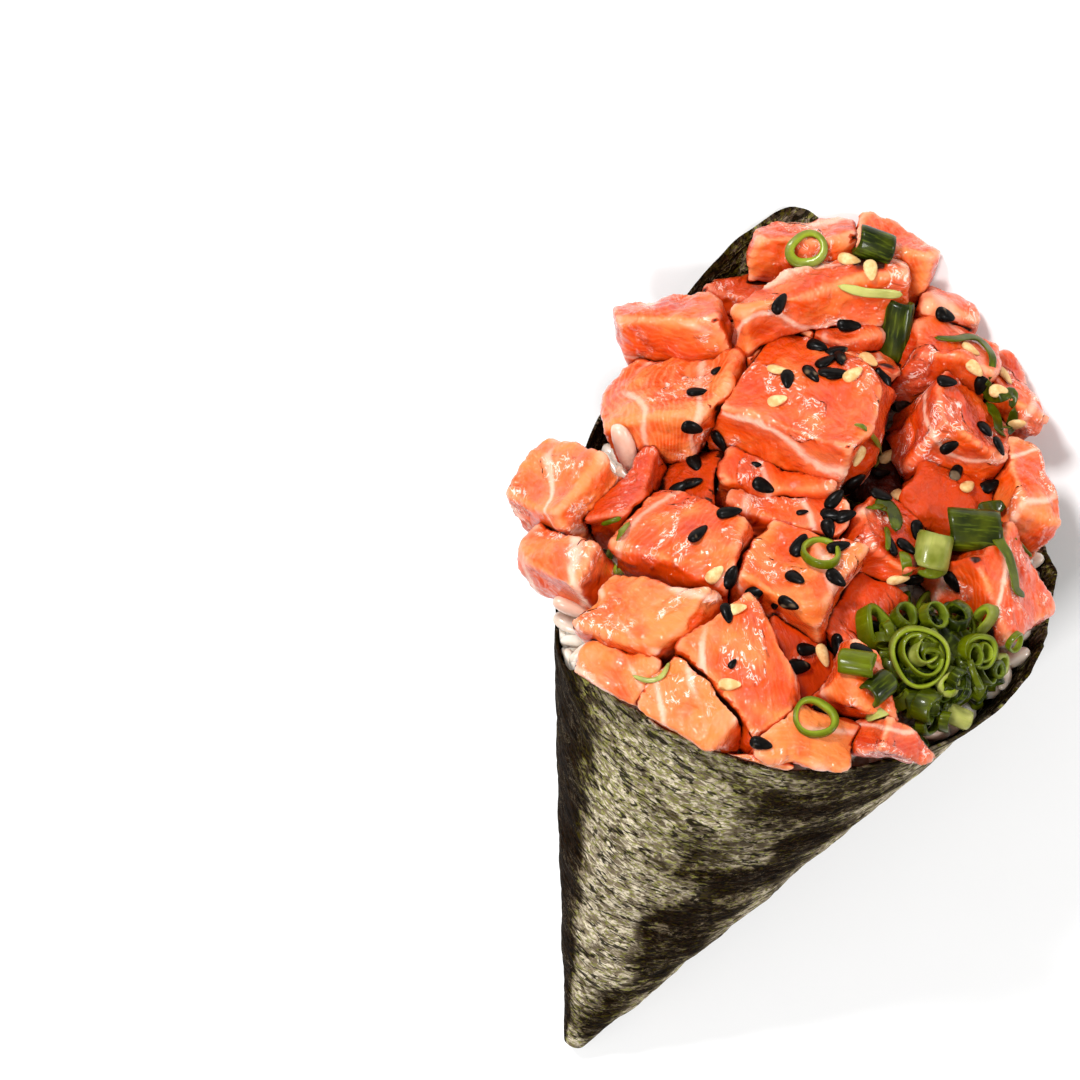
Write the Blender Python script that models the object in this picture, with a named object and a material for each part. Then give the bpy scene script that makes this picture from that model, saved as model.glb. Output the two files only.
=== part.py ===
"""Salmon temaki hand roll: a cone of rolled nori filled with rice and heaped with cut salmon.

The cone lies on its side on a narrow flat, its tip towards -Y and its mouth towards +Y.
Metres, +Z up. Blender 4.5: blender --background --python part.py

Two frames are used. The cone frame has its zero at the cone's point: h runs along the axis to
the mouth, v across it on the upper side, w across it to +X. The heap frame is the view from
which the heap is arranged: x to +X, y up the heap towards the cone's far lip, d out of the heap.
"""

import math
import random

import bmesh
import bpy
from mathutils import Matrix, Vector
from mathutils.bvhtree import BVHTree

MM = 0.001
GAP = 0.3 * MM

# The nori cone
CONE_HALF_ANGLE = math.radians(19.4)
AXIS_RISE = math.radians(17.8)
TIP_RADIUS = 2.0 * MM
WALL = 0.8 * MM
SEAM_STEP = 0.35 * MM
SEAM_TURN = math.radians(97.0)
INNER_TIP = 9.0 * MM
AROUND = 60
# The flat it lies on is hollow by this much between the tip and the lip, so that it rests on three
# points
FLAT_HOLLOW = 0.15 * MM

# The lip: a slanted cut, with one corner of the sheet standing up at the back on the left,
# and a dip on the left towards the front
LIP_MIDDLE = 107.5 * MM
LIP_SLANT = 12.0 * MM
LIP_TWIST = 3.0 * MM
CORNER_RISE = 23.0 * MM
CORNER_TURN = math.radians(-152.0)
CORNER_SPREAD = math.radians(24.0)
DIP_FALL = 13.0 * MM
DIP_TURN = math.radians(-66.0)
DIP_SPREAD = math.radians(25.0)

# The plane across the mouth, h = MOUTH_MIDDLE + MOUTH_PER_V v + MOUTH_PER_W w
MOUTH_MIDDLE = 104.0 * MM
MOUTH_PER_V = -0.36
MOUTH_PER_W = 0.10

# The heap frame: how far it turns from the axis, and where its zero is along the cone
HEAP_TURN = math.radians(54.0)
HEAP_ZERO = 88.8 * MM

# The rice's upper face, a dome over the mouth, and the rounder slope that the pieces follow
DOME_RISE = 5.0 * MM
DOME_HALF_WIDTH = 36.0 * MM
DOME_HALF_LENGTH = 40.0 * MM
SLOPE_RISE = 17.0 * MM
RICE_BUMP = 0.6 * MM
RICE_UNDER_LIP = 1.5 * MM
RICE_TIP = 12.0 * MM

# The pieces of salmon: name, x, y and d of the centre, length, width, thickness, turn in the
# heap's face, tilt of the top away from +y, tilt of the top to +x. Millimetres and degrees,
# from the top of the heap down: a piece yields to those before it.
SALMON = (
    ("crown", -7.6, 19.8, 59.5, 21.5, 20.5, 15.0, -8, 0, 0),
    ("arc", -14.5, 39.0, 54.5, 32.0, 7.5, 7.5, 38, 0, -6),
    ("left_slab", -25.6, 13.5, 59.0, 20.0, 16.0, 10.5, 4, 0, -9),
    ("middle_slab", -15.4, -5.2, 71.8, 18.5, 13.0, 10.0, -5, 0, 0),
    ("middle_block", 1.2, -3.4, 73.0, 15.0, 14.0, 11.0, -3, 0, 0),
    ("left_cube", -35.4, -5.3, 64.5, 12.0, 13.5, 12.0, -10, 0, 6),
    ("right_block", 14.2, 26.8, 53.5, 14.5, 11.5, 13.0, 16, 0, 8),
    ("right_top", 8.4, 35.4, 51.5, 15.0, 12.0, 11.0, 6, 0, 0),
    ("low_middle", 0.6, -19.4, 80.0, 16.5, 13.0, 12.0, -32, 0, 0),
    ("low_left", -15.2, -18.4, 77.5, 16.0, 12.0, 12.0, 2, 0, 0),
    ("right_rim", 28.6, 8.4, 62.5, 14.5, 13.0, 12.0, -22, 0, 0),
    ("right_face", 11.9, 5.8, 65.0, 14.5, 13.5, 12.0, -20, 0, 0),
    ("low_right", 18.0, -12.6, 80.0, 12.0, 10.0, 10.0, -4, 0, 0),
    ("left_back", -31.6, 23.6, 55.0, 16.0, 9.0, 10.0, 18, 0, 0),
    ("side_left", -29.8, -13.4, 70.5, 12.5, 10.5, 10.0, -6, 0, 0),
    ("back_slab", -18.6, 43.8, 48.5, 16.5, 9.0, 9.0, 12, 0, 0),
    ("back_top", -5.4, 47.0, 49.0, 13.5, 10.5, 10.0, 8, 0, 0),
    ("far_right", 17.8, 35.4, 46.5, 8.0, 12.5, 11.0, 38, 0, 0),
    ("right_band", 25.6, 22.8, 53.0, 8.0, 15.5, 11.0, 38, 0, 0),
    ("front_right", 11.9, -23.6, 83.0, 15.5, 9.0, 9.5, 10, 0, 0),
    ("front_far_right", 22.9, -17.8, 83.0, 14.0, 9.0, 9.5, 20, 0, 8),
    ("back_edge", 4.8, 41.4, 47.0, 11.5, 7.0, 9.0, -8, 0, 0),
    ("crown_side", 0.4, 28.0, 55.0, 13.0, 8.0, 11.5, -38, 0, 0),
    ("crown_lobe", -19.6, 25.0, 55.0, 6.5, 10.0, 11.5, -14, 0, 0),
    ("under_arc", -6.5, 36.4, 50.0, 13.0, 11.0, 10.0, 8, 0, 0),
    ("tongue", -12.0, 33.2, 51.5, 4.5, 8.5, 8.0, 24, 0, 0),
    ("behind_crown", -22.0, 28.0, 50.0, 11.0, 12.0, 12.0, -8, 0, 0),
    ("left_edge", -24.6, 35.4, 49.5, 5.5, 7.5, 9.0, -18, 0, 0),
    ("under_crown", -8.5, 7.6, 62.5, 14.0, 8.0, 11.5, 8, 0, 0),
    ("under_middle", -4.0, 4.0, 66.0, 12.0, 10.0, 10.0, 14, 0, 0),
    ("front_middle", -5.0, -25.6, 83.0, 10.0, 9.0, 9.0, -8, 0, 0),
    ("front_left", -13.0, -25.6, 80.5, 11.0, 8.0, 9.0, 4, 0, 0),
    ("front_low", 6.0, -27.6, 84.0, 8.5, 6.0, 7.0, 8, 0, 0),
    ("in_shade_left", -27.0, -1.0, 61.0, 10.5, 14.0, 12.0, 4, 0, 0),
    ("in_shade_middle", -17.0, 4.0, 61.0, 18.0, 10.0, 12.0, -4, 0, 0),
    ("in_shade_low", 8.5, -12.5, 74.0, 11.0, 11.0, 10.0, 10, 0, 0),
    ("in_shade_right", 17.5, 17.5, 55.0, 13.0, 11.0, 12.0, 8, 0, 0),
    ("in_hollow", 5.0, 15.5, 55.5, 9.0, 13.0, 8.0, 10, 0, 0),
    ("under_face", 11.0, -4.5, 69.0, 11.0, 9.0, 10.0, 0, 0, 0),
)
ARC_NAME = "arc"
FIRST_UNDER_ONION = "low_right"
# The arc is a curved slice: its row gives the radius of its bend for a length
ARC_HALF_SPAN = math.radians(27.0)
ARC_PARTS = 4
ARC_SLIMMER_ENDS = 0.6
ARC_DROOP = 2.0 * MM
FACE_JITTER = 0.09
SHORT_EDGE = 0.7 * MM
SALMON_CREASE = 0.62
# The rows after this many lie deeper, and grow by this factor into the gaps that are left
OUTER_PIECES = 22
GROWTH = 1.5

# Spring onion: one heap, and four cut tubes lying apart, as name, x, y, turn in degrees, then
# outer radius, length and wall in millimetres
ONION_HEAP_AT = (27.0 * MM, -6.0 * MM, 73.0 * MM)
ONION_HEAP_HALF = (14.5 * MM, 13.5 * MM, 8.5 * MM)
ONION_LUMPS = 24
ONION_LUMP_RADIUS = 3.0 * MM
ONION_DENT = 0.16
ONION_TUBES = (
    ("top", -0.3, 37.5, 86, 2.1, 9.0, 0.7),
    ("back", -8.0, 48.6, 10, 2.3, 4.8, 0.8),
    ("side", 22.0, 15.5, 152, 3.2, 8.0, 0.8),
    ("light", 18.3, 8.5, 112, 2.8, 5.5, 0.9),
)
ABOVE_HEAP = 110.0 * MM
LIFT_STEP = 0.2 * MM

SALMON_ORANGE = (0.90, 0.23, 0.07, 1.0)
NORI_BLACK = (0.022, 0.022, 0.012, 1.0)
RICE_WHITE = (0.80, 0.74, 0.66, 1.0)
ONION_GREEN = (0.16, 0.34, 0.03, 1.0)

AXIS = Vector((0.0, math.cos(AXIS_RISE), math.sin(AXIS_RISE)))
UPPER = Vector((0.0, -math.sin(AXIS_RISE), math.cos(AXIS_RISE)))
ACROSS = Vector((1.0, 0.0, 0.0))
UP_HEAP = math.sin(HEAP_TURN) * AXIS - math.cos(HEAP_TURN) * UPPER
OUT_OF_HEAP = math.cos(HEAP_TURN) * AXIS + math.sin(HEAP_TURN) * UPPER
TAPER = math.tan(CONE_HALF_ANGLE)


def clear_scene():
    for obj in list(bpy.data.objects):
        bpy.data.objects.remove(obj, do_unlink=True)


def material(name, colour, roughness):
    made = bpy.data.materials.new(name)
    made.use_nodes = True
    shader = made.node_tree.nodes["Principled BSDF"]
    shader.inputs["Base Color"].default_value = colour
    shader.inputs["Roughness"].default_value = roughness
    shader.inputs["Metallic"].default_value = 0.0
    made.diffuse_color = colour
    return made


def place(name, bm, finish, parent, centre=None):
    """Makes the object, with its own origin at centre, and parents it to the roll."""
    centre = centre or Vector((0.0, 0.0, 0.0))
    bmesh.ops.translate(bm, vec=-centre, verts=bm.verts)
    bmesh.ops.recalc_face_normals(bm, faces=bm.faces)
    mesh = bpy.data.meshes.new(name)
    bm.to_mesh(mesh)
    mesh.materials.append(finish)
    obj = bpy.data.objects.new(name, mesh)
    obj.location = centre
    obj.parent = parent
    bpy.context.scene.collection.objects.link(obj)
    return obj


# Frames


def from_cone(h, v, w):
    return h * AXIS + v * UPPER + w * ACROSS


def from_heap(x, y, d):
    return x * ACROSS + (HEAP_ZERO + y) * UP_HEAP + d * OUT_OF_HEAP


def mouth_depth(x, y):
    """How far out the mouth plane lies at a place in the heap's face."""
    sine, cosine = math.sin(HEAP_TURN), math.cos(HEAP_TURN)
    along = (HEAP_ZERO + y) * (sine + MOUTH_PER_V * cosine)
    return (MOUTH_MIDDLE + MOUTH_PER_W * x - along) / (cosine - MOUTH_PER_V * sine)


def dome(x, y, rise):
    share = (x / DOME_HALF_WIDTH) ** 2 + (y / DOME_HALF_LENGTH) ** 2
    return mouth_depth(x, y) + rise * (1.0 - share)


def dome_normal(x, y, rise):
    step = 0.5 * MM
    slope_x = (dome(x + step, y, rise) - dome(x - step, y, rise)) / (2 * step)
    slope_y = (dome(x, y + step, rise) - dome(x, y - step, rise)) / (2 * step)
    return (OUT_OF_HEAP - slope_x * ACROSS - slope_y * UP_HEAP).normalized()


# Nori


def lip(turn):
    plain = LIP_MIDDLE - LIP_SLANT * math.cos(turn) + LIP_TWIST * math.sin(turn)
    corner = CORNER_RISE * swell(turn - CORNER_TURN, CORNER_SPREAD)
    return plain + corner - DIP_FALL * swell(turn - DIP_TURN, DIP_SPREAD)


def swell(away, spread):
    """1 where the turn is reached, falling off to both sides."""
    return math.exp(-((math.remainder(away, math.tau) / spread) ** 2))


def hand_rolled(h, turn):
    """The small unevenness of a cone rolled by hand, as a share of the radius."""
    return 0.008 * math.sin(2 * turn + 40 * h) + 0.005 * math.sin(5 * turn - 65 * h)


def cone_point(h, radius, turn, floor):
    """A point of the cone, pressed flat where it would pass under its floor."""
    point = from_cone(h, radius * math.cos(turn), radius * math.sin(turn))
    hollow = FLAT_HOLLOW * max(0.0, math.sin(math.pi * h / (LIP_MIDDLE + LIP_SLANT)))
    point.z = max(point.z, floor + hollow)
    return point


def outer_profile(turn):
    """(h, radius) from the tip's round cap up to the lip."""
    centre = TIP_RADIUS / math.sin(CONE_HALF_ANGLE)
    step = SEAM_STEP * (((turn - SEAM_TURN) / math.tau) % 1.0)
    profile = []
    for degrees in (25.0, 48.0, 70.0):
        a = math.radians(degrees)
        profile.append((centre - TIP_RADIUS * math.cos(a), TIP_RADIUS * math.sin(a)))
    start = profile[-1][0]
    for share in (0.06, 0.25, 0.5, 0.75, 1.0):
        h = start + (lip(turn) - start) * share
        grown = h * TAPER * (1.0 + hand_rolled(h, turn))
        profile.append((h, grown + step * min(1.0, 4.0 * share)))
    return centre - TIP_RADIUS, profile


def inner_profile(turn):
    profile = []
    for share in (0.0, 0.25, 0.5, 0.75, 1.0):
        h = INNER_TIP + (lip(turn) - INNER_TIP) * share
        profile.append((h, h * TAPER * (1.0 + hand_rolled(h, turn)) - WALL))
    return INNER_TIP - 1.5 * MM, profile


def rings_of(bm, profile_of, floor):
    """The cap's vertex, then one ring of vertices for each level."""
    turns = [math.tau * k / AROUND for k in range(AROUND)]
    columns = [profile_of(turn) for turn in turns]
    point = from_cone(columns[0][0], 0.0, 0.0)
    point.z = max(point.z, floor)
    cap = bm.verts.new(point)
    rings = []
    for level in range(len(columns[0][1])):
        ring = []
        for turn, (_, profile) in zip(turns, columns):
            h, radius = profile[level]
            ring.append(bm.verts.new(cone_point(h, radius, turn, floor)))
        rings.append(ring)
    return cap, rings


def join_rings(bm, rings):
    for lower, upper in zip(rings, rings[1:]):
        for k in range(AROUND):
            following = (k + 1) % AROUND
            bm.faces.new((lower[k], lower[following], upper[following], upper[k]))


def fan(bm, centre, ring):
    for k in range(AROUND):
        bm.faces.new((centre, ring[k], ring[(k + 1) % AROUND]))


def make_nori(finish, parent):
    bm = bmesh.new()
    outer_cap, outer = rings_of(bm, outer_profile, 0.0)
    inner_cap, inner = rings_of(bm, inner_profile, WALL)
    fan(bm, outer_cap, outer[0])
    fan(bm, inner_cap, inner[0])
    join_rings(bm, outer + inner[::-1])
    return place("nori", bm, finish, parent)


def nori_sectors():
    """The wall near the lip as convex blocks, which the salmon yields to."""
    blocks = []
    for k in range(AROUND):
        corners = []
        for turn in (math.tau * k / AROUND, math.tau * (k + 1) / AROUND):
            for drop in (0.0, 45.0 * MM):
                h = lip(turn) - drop
                for radius in (h * TAPER - WALL - 2 * GAP, h * TAPER + SEAM_STEP + GAP):
                    grown = radius * (1.0 + hand_rolled(h, turn))
                    corners.append(cone_point(h, grown, turn, 0.0))
        block = bmesh.new()
        for corner in corners:
            block.verts.new(corner)
        bmesh.ops.convex_hull(block, input=block.verts)
        blocks.append(block)
    return blocks


# Rice


def to_heap(point):
    return point.x, point.dot(UP_HEAP) - HEAP_ZERO, point.dot(OUT_OF_HEAP)


def rice_h(turn, share):
    """h of the rice's upper face, at a share of the wall's radius: under the dome and the lip."""
    h = MOUTH_MIDDLE
    for _ in range(12):
        radius = share * h * TAPER
        x, y, d = to_heap(from_cone(h, radius * math.cos(turn), radius * math.sin(turn)))
        h += 0.8 * (dome(x, y, DOME_RISE) - GAP - d)
    grains = RICE_BUMP * (1.0 + math.sin(9 * turn + 2) * math.sin(14 * share + 3 * turn))
    return min(h - grains, lip(turn) + (1.0 - share) * h * TAPER - RICE_UNDER_LIP)


def make_rice(finish, parent):
    bm = bmesh.new()
    clear = WALL + GAP

    def profile(turn):
        top = rice_h(turn, 1.0)
        levels = []
        for share in (0.0, 0.3, 0.6, 1.0):
            h = RICE_TIP + (top - RICE_TIP) * share
            levels.append((h, h * TAPER * (1.0 + hand_rolled(h, turn)) - clear))
        for share in (0.85, 0.66, 0.44, 0.22):
            h = rice_h(turn, share)
            levels.append((h, share * (h * TAPER - clear)))
        return RICE_TIP - 1.0 * MM, levels

    bottom, rings = rings_of(bm, profile, clear)
    fan(bm, bottom, rings[0])
    join_rings(bm, rings)
    fan(bm, bm.verts.new(from_cone(rice_h(0.0, 0.0), 0.0, 0.0)), rings[-1])
    return place("rice", bm, finish, parent)


# Convex blocks that yield to each other


def clip(bm, point, normal):
    """Cuts away what lies on the normal's side of the plane, and closes the cut."""
    geometry = bm.verts[:] + bm.edges[:] + bm.faces[:]
    cut = bmesh.ops.bisect_plane(
        bm, geom=geometry, dist=1e-7, plane_co=point, plane_no=normal, clear_outer=True
    )
    edges = [e for e in cut["geom_cut"] if isinstance(e, bmesh.types.BMEdge)]
    if edges:
        bmesh.ops.edgeloop_fill(bm, edges=edges)


def planes_of(bm):
    bmesh.ops.recalc_face_normals(bm, faces=bm.faces)
    bm.normal_update()
    return [(face.calc_center_median(), face.normal.copy()) for face in bm.faces]


def apart(one, other):
    """Whether a face plane of one block has all of the other block outside it."""
    for point, normal in planes_of(one):
        if outside(other, point, normal):
            return True
    return False


def outside(bm, point, normal):
    return all((v.co - point).dot(normal) > 0.0 for v in bm.verts)


def volume(bm):
    return abs(bm.calc_volume(signed=True)) if bm.faces else 0.0


def clip_least(block, planes):
    """Clips by the plane, of those given as (point, normal), that costs the block least."""
    best, best_volume = None, -1.0
    for point, normal in planes:
        trial = block.copy()
        clip(trial, point, normal)
        if volume(trial) > best_volume:
            best, best_volume = (point, normal), volume(trial)
        trial.free()
    clip(block, *best)


def yield_to(block, winner):
    """Trims block to the outside of one face plane of winner."""
    if not apart(winner, block) and not apart(block, winner):
        planes = planes_of(winner)
        clip_least(block, [(point + normal * GAP, -normal) for point, normal in planes])


def grow(block, larger, others):
    """The larger block, trimmed by planes that have the whole of block on their inner side."""
    for other in others:
        if apart(other, larger) or apart(larger, other):
            continue
        planes = [plane for plane in planes_of(block) if outside(other, *plane)]
        for point, normal in planes_of(other):
            if outside(block, point, normal):
                step = min(GAP, reach(block, point, normal))
                planes.append((point + normal * step, -normal))
        clip_least(larger, planes)
    return larger


def reach(bm, point, normal):
    """How far the nearest vertex lies outside the plane."""
    return min((v.co - point).dot(normal) for v in bm.verts)


def cut_block(size, frame, dice):
    """A knife-cut block: six faces a little out of square, and two corners trimmed."""
    bm = bmesh.new()
    bmesh.ops.create_cube(bm, size=3.0 * max(size))
    for axis in range(3):
        for side in (-1.0, 1.0):
            normal = Vector([dice.uniform(-FACE_JITTER, FACE_JITTER) for _ in range(3)])
            normal[axis] = side
            point = Vector((0.0, 0.0, 0.0))
            point[axis] = side * size[axis] / 2
            clip(bm, point, normal.normalized())
    for _ in range(2):
        corner = Vector([dice.choice((-1.0, 1.0)) * side / 2 for side in size])
        normal = Vector([math.copysign(1.0, c) / side for c, side in zip(corner, size)])
        clip(bm, corner * dice.uniform(0.72, 0.86), normal.normalized())
    bm.transform(frame)
    return bm


def heap_frame(x, y, d, turn, away, aside):
    """The matrix that sets a piece on the heap, its top facing out of the slope."""
    normal = dome_normal(x, y, SLOPE_RISE)
    right = (ACROSS - normal * ACROSS.dot(normal)).normalized()
    axes = Matrix((right, normal.cross(right), normal)).transposed().to_4x4()
    turned = Matrix.Rotation(turn, 4, "Z") @ Matrix.Rotation(away, 4, "X")
    turned = turned @ Matrix.Rotation(aside, 4, "Y")
    return Matrix.Translation(from_heap(x, y, d)) @ axes @ turned


def arc_blocks(row):
    """The curved slice, as a row of wedge blocks round its bend, slimmer and lower at its ends."""
    _, x, y, d, radius, width, thickness, *turns = row
    middle = heap_frame(x * MM, y * MM, d * MM, *(math.radians(angle) for angle in turns))
    blocks = []
    for k in range(ARC_PARTS):
        bm = bmesh.new()
        for end in (2 * k / ARC_PARTS - 1, 2 * (k + 1) / ARC_PARTS - 1):
            a = math.pi / 2 + ARC_HALF_SPAN * end
            slim = 1.0 - ARC_SLIMMER_ENDS * end**2
            for side in (-0.5, 0.5):
                for up in (-0.5, 0.5):
                    out = (radius + side * width * slim) * MM
                    rise = up * thickness * MM - ARC_DROOP * end**2
                    bm.verts.new((out * math.cos(a), out * math.sin(a) - radius * MM, rise))
        bmesh.ops.convex_hull(bm, input=bm.verts)
        bmesh.ops.dissolve_limit(bm, angle_limit=math.radians(3.0), verts=bm.verts, edges=bm.edges)
        bm.transform(middle)
        blocks.append(bm)
    return blocks


def joined(blocks):
    """The arc's blocks as one closed mesh: the walls between them are left out."""
    bm = bmesh.new()
    for block in blocks:
        mesh = bpy.data.meshes.new("part")
        block.to_mesh(mesh)
        bm.from_mesh(mesh)
        bpy.data.meshes.remove(mesh)
    bmesh.ops.remove_doubles(bm, verts=bm.verts, dist=0.02 * MM)
    shared = [f for f in bm.faces if all(len(e.link_faces) > 2 for e in f.edges)]
    bmesh.ops.delete(bm, geom=shared, context="FACES_ONLY")
    return bm


def tidy_hull(block):
    """Short edges merged, then the hull's flat faces restored."""
    bmesh.ops.remove_doubles(block, verts=block.verts, dist=SHORT_EDGE)
    bmesh.ops.delete(block, geom=block.faces[:] + block.edges[:], context="EDGES_FACES")
    hull = bmesh.ops.convex_hull(block, input=block.verts)
    loose = [g for g in hull["geom_interior"] if isinstance(g, bmesh.types.BMVert)]
    bmesh.ops.delete(block, geom=loose, context="VERTS")
    bmesh.ops.dissolve_limit(
        block, angle_limit=math.radians(3.0), verts=block.verts, edges=block.edges
    )


def soften(obj):
    """Rounds the cut edges by one level of subdivision, held by a crease."""
    crease = obj.data.attributes.new("crease_edge", "FLOAT", "EDGE")
    crease.data.foreach_set("value", [SALMON_CREASE] * len(obj.data.edges))
    rounding = obj.modifiers.new("rounding", "SUBSURF")
    rounding.levels = 1
    rounding.render_levels = 1
    obj.data.shade_smooth()


def on_rice(block, x, y):
    """Clips off what lies under the dome's tangent plane there, and under the nori's flat."""
    clip(block, from_heap(x, y, dome(x, y, DOME_RISE)), -dome_normal(x, y, DOME_RISE))
    clip(block, Vector((0.0, 0.0, WALL + GAP)), Vector((0.0, 0.0, -1.0)))


def piece_block(row, growth):
    """The cut block of one row, on the rice, with its length and width scaled by growth."""
    name, x, y, d, length, width, thickness = row[:7]
    turns = [math.radians(angle) for angle in row[7:]]
    size = (length * growth * MM, width * growth * MM, thickness * MM)
    block = cut_block(size, heap_frame(x * MM, y * MM, d * MM, *turns), random.Random(name))
    on_rice(block, x * MM, y * MM)
    return block


def salmon_blocks(onions):
    """The blocks of every piece: first each yields to those above it, then fills what is left."""
    walls = nori_sectors()
    blocks = {}
    for row in SALMON:
        name = row[0]
        if name == FIRST_UNDER_ONION:
            on_rice(onions, *ONION_HEAP_AT[:2])
            for winner in walls + sum(blocks.values(), []):
                yield_to(onions, winner)
            blocks["onions"] = [onions]
        if name == ARC_NAME:
            blocks[name] = arc_blocks(row)
            continue
        block = piece_block(row, 1.0)
        for winner in walls + sum(blocks.values(), []):
            yield_to(block, winner)
        blocks[name] = [block]
    for row in SALMON[OUTER_PIECES:]:
        others = walls + sum([kept for other, kept in blocks.items() if other != row[0]], [])
        blocks[row[0]] = [grow(blocks[row[0]][0], piece_block(row, GROWTH), others)]
    return blocks


def make_salmon(finish, parent, onions):
    blocks = salmon_blocks(onions)
    made = []
    for row in SALMON:
        name = row[0]
        if name == ARC_NAME:
            whole = joined(blocks[name])
        else:
            whole = blocks[name][0]
            tidy_hull(whole)
        centre = sum((v.co for v in whole.verts), Vector()) / len(whole.verts)
        obj = place("salmon_" + name, whole, finish, parent, centre)
        soften(obj)
        made.append(obj)
    return made


# Spring onion


def tree_of(objects):
    graph = bpy.context.evaluated_depsgraph_get()
    bm = bmesh.new()
    for obj in objects:
        mesh = bpy.data.meshes.new_from_object(obj.evaluated_get(graph))
        mesh.transform(obj.matrix_world)
        bm.from_mesh(mesh)
        bpy.data.meshes.remove(mesh)
    tree = BVHTree.FromBMesh(bm)
    bm.free()
    return tree


def tube_mesh(radius, length, wall, frame):
    bm = bmesh.new()
    sides = 16
    rings = []
    for reach, end in ((radius, -1), (radius, 1), (radius - wall, 1), (radius - wall, -1)):
        ring = []
        for k in range(sides):
            a = math.tau * k / sides
            oval = Vector((reach * math.cos(a), reach * 0.9 * math.sin(a), end * length / 2))
            ring.append(bm.verts.new(oval))
        rings.append(ring)
    for one, other in zip(rings, rings[1:] + rings[:1]):
        for k in range(sides):
            following = (k + 1) % sides
            bm.faces.new((one[k], one[following], other[following], other[k]))
    bm.transform(frame)
    return bm


def make_onion_tubes(finish, parent, under):
    """Each tube lies on the piece under it, and is lifted until it is clear of its neighbours."""
    tree = tree_of(under)
    for name, x, y, turn, radius, length, wall in ONION_TUBES:
        start = from_heap(x * MM, y * MM, ABOVE_HEAP)
        hit, normal, _, _ = tree.ray_cast(start, -OUT_OF_HEAP)
        normal = (normal + 2.0 * OUT_OF_HEAP).normalized()
        right = (ACROSS - normal * ACROSS.dot(normal)).normalized()
        along = Matrix.Rotation(math.radians(turn), 3, normal) @ right
        axes = Matrix((normal, along.cross(normal), along)).transposed().to_4x4()
        middle = hit + normal * (0.9 * radius * MM + GAP)
        bm = tube_mesh(radius * MM, length * MM, wall * MM, Matrix.Translation(middle) @ axes)
        while BVHTree.FromBMesh(bm).overlap(tree):
            bmesh.ops.translate(bm, vec=OUT_OF_HEAP * LIFT_STEP, verts=bm.verts)
        bmesh.ops.translate(bm, vec=OUT_OF_HEAP * GAP, verts=bm.verts)
        obj = place("onion_" + name, bm, finish, parent, middle)
        obj.data.shade_smooth()
        obj.data.set_sharp_from_angle(angle=math.radians(40.0))


def onion_heap_block():
    """A convex block round the onion heap, which the salmon under it yields to."""
    bm = bmesh.new()
    bmesh.ops.create_icosphere(bm, subdivisions=1, radius=1.0)
    bmesh.ops.scale(bm, vec=[half * 1.02 for half in ONION_HEAP_HALF], verts=bm.verts)
    bm.transform(heap_frame(*ONION_HEAP_AT, 0.0, 0.0, 0.0))
    return bm


def make_onion_heap(block, finish, parent):
    """One solid out to the heap's uneven outline: the block, pressed in between round lumps."""
    dice = random.Random(7)
    bm = block.copy()
    bmesh.ops.triangulate(bm, faces=bm.faces)
    bmesh.ops.subdivide_edges(bm, edges=bm.edges, cuts=3, use_grid_fill=True)
    middle = Vector(sum((v.co for v in bm.verts), Vector())) / len(bm.verts)
    lumps = [dice.choice(bm.verts[:]).co.copy() for _ in range(ONION_LUMPS)]
    for vert in bm.verts:
        nearest = min((vert.co - lump).length for lump in lumps)
        dent = ONION_DENT * min(1.0, (nearest / ONION_LUMP_RADIUS) ** 2)
        vert.co += (middle - vert.co) * dent
    return place("onion_heap", bm, finish, parent, middle)


def stand_on_origin(parent):
    """Moves the whole roll so that its box stands on the origin."""
    bpy.context.view_layer.update()
    graph = bpy.context.evaluated_depsgraph_get()
    points = []
    for obj in parent.children:
        shown = obj.evaluated_get(graph)
        points += [shown.matrix_world @ v.co for v in shown.data.vertices]
    lows = [min(p[i] for p in points) for i in range(3)]
    highs = [max(p[i] for p in points) for i in range(3)]
    parent.location = (-(lows[0] + highs[0]) / 2, -(lows[1] + highs[1]) / 2, -lows[2])


def main():
    clear_scene()
    roll = bpy.data.objects.new("temaki", None)
    bpy.context.scene.collection.objects.link(roll)
    nori = material("nori", NORI_BLACK, 0.45)
    rice = material("rice", RICE_WHITE, 0.5)
    salmon = material("salmon", SALMON_ORANGE, 0.35)
    onion = material("spring_onion", ONION_GREEN, 0.4)
    make_nori(nori, roll)
    make_rice(rice, roll)
    onions = onion_heap_block()
    pieces = make_salmon(salmon, roll, onions)
    pieces.append(make_onion_heap(onions, onion, roll))
    bpy.context.view_layer.update()
    make_onion_tubes(onion, roll, pieces)
    stand_on_origin(roll)


main()
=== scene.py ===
"""Looks of the salmon temaki hand roll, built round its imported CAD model.

Metres, +Z up, in the frame of the CAD. Three frames of its own are used. The cone frame has its
zero at the cone's point: h along the axis, v across it on the upper side, w across it to +X. The
heap frame looks out of the heap: x to +X, y up the heap, d out of it. The sheet frame is the nori
laid flat. Small sizes are in millimetres, and MM turns them into metres.
"""

import math
import random

import bmesh
import bpy
import numpy as np
from mathutils import Matrix, Vector
from mathutils.bvhtree import BVHTree


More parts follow.
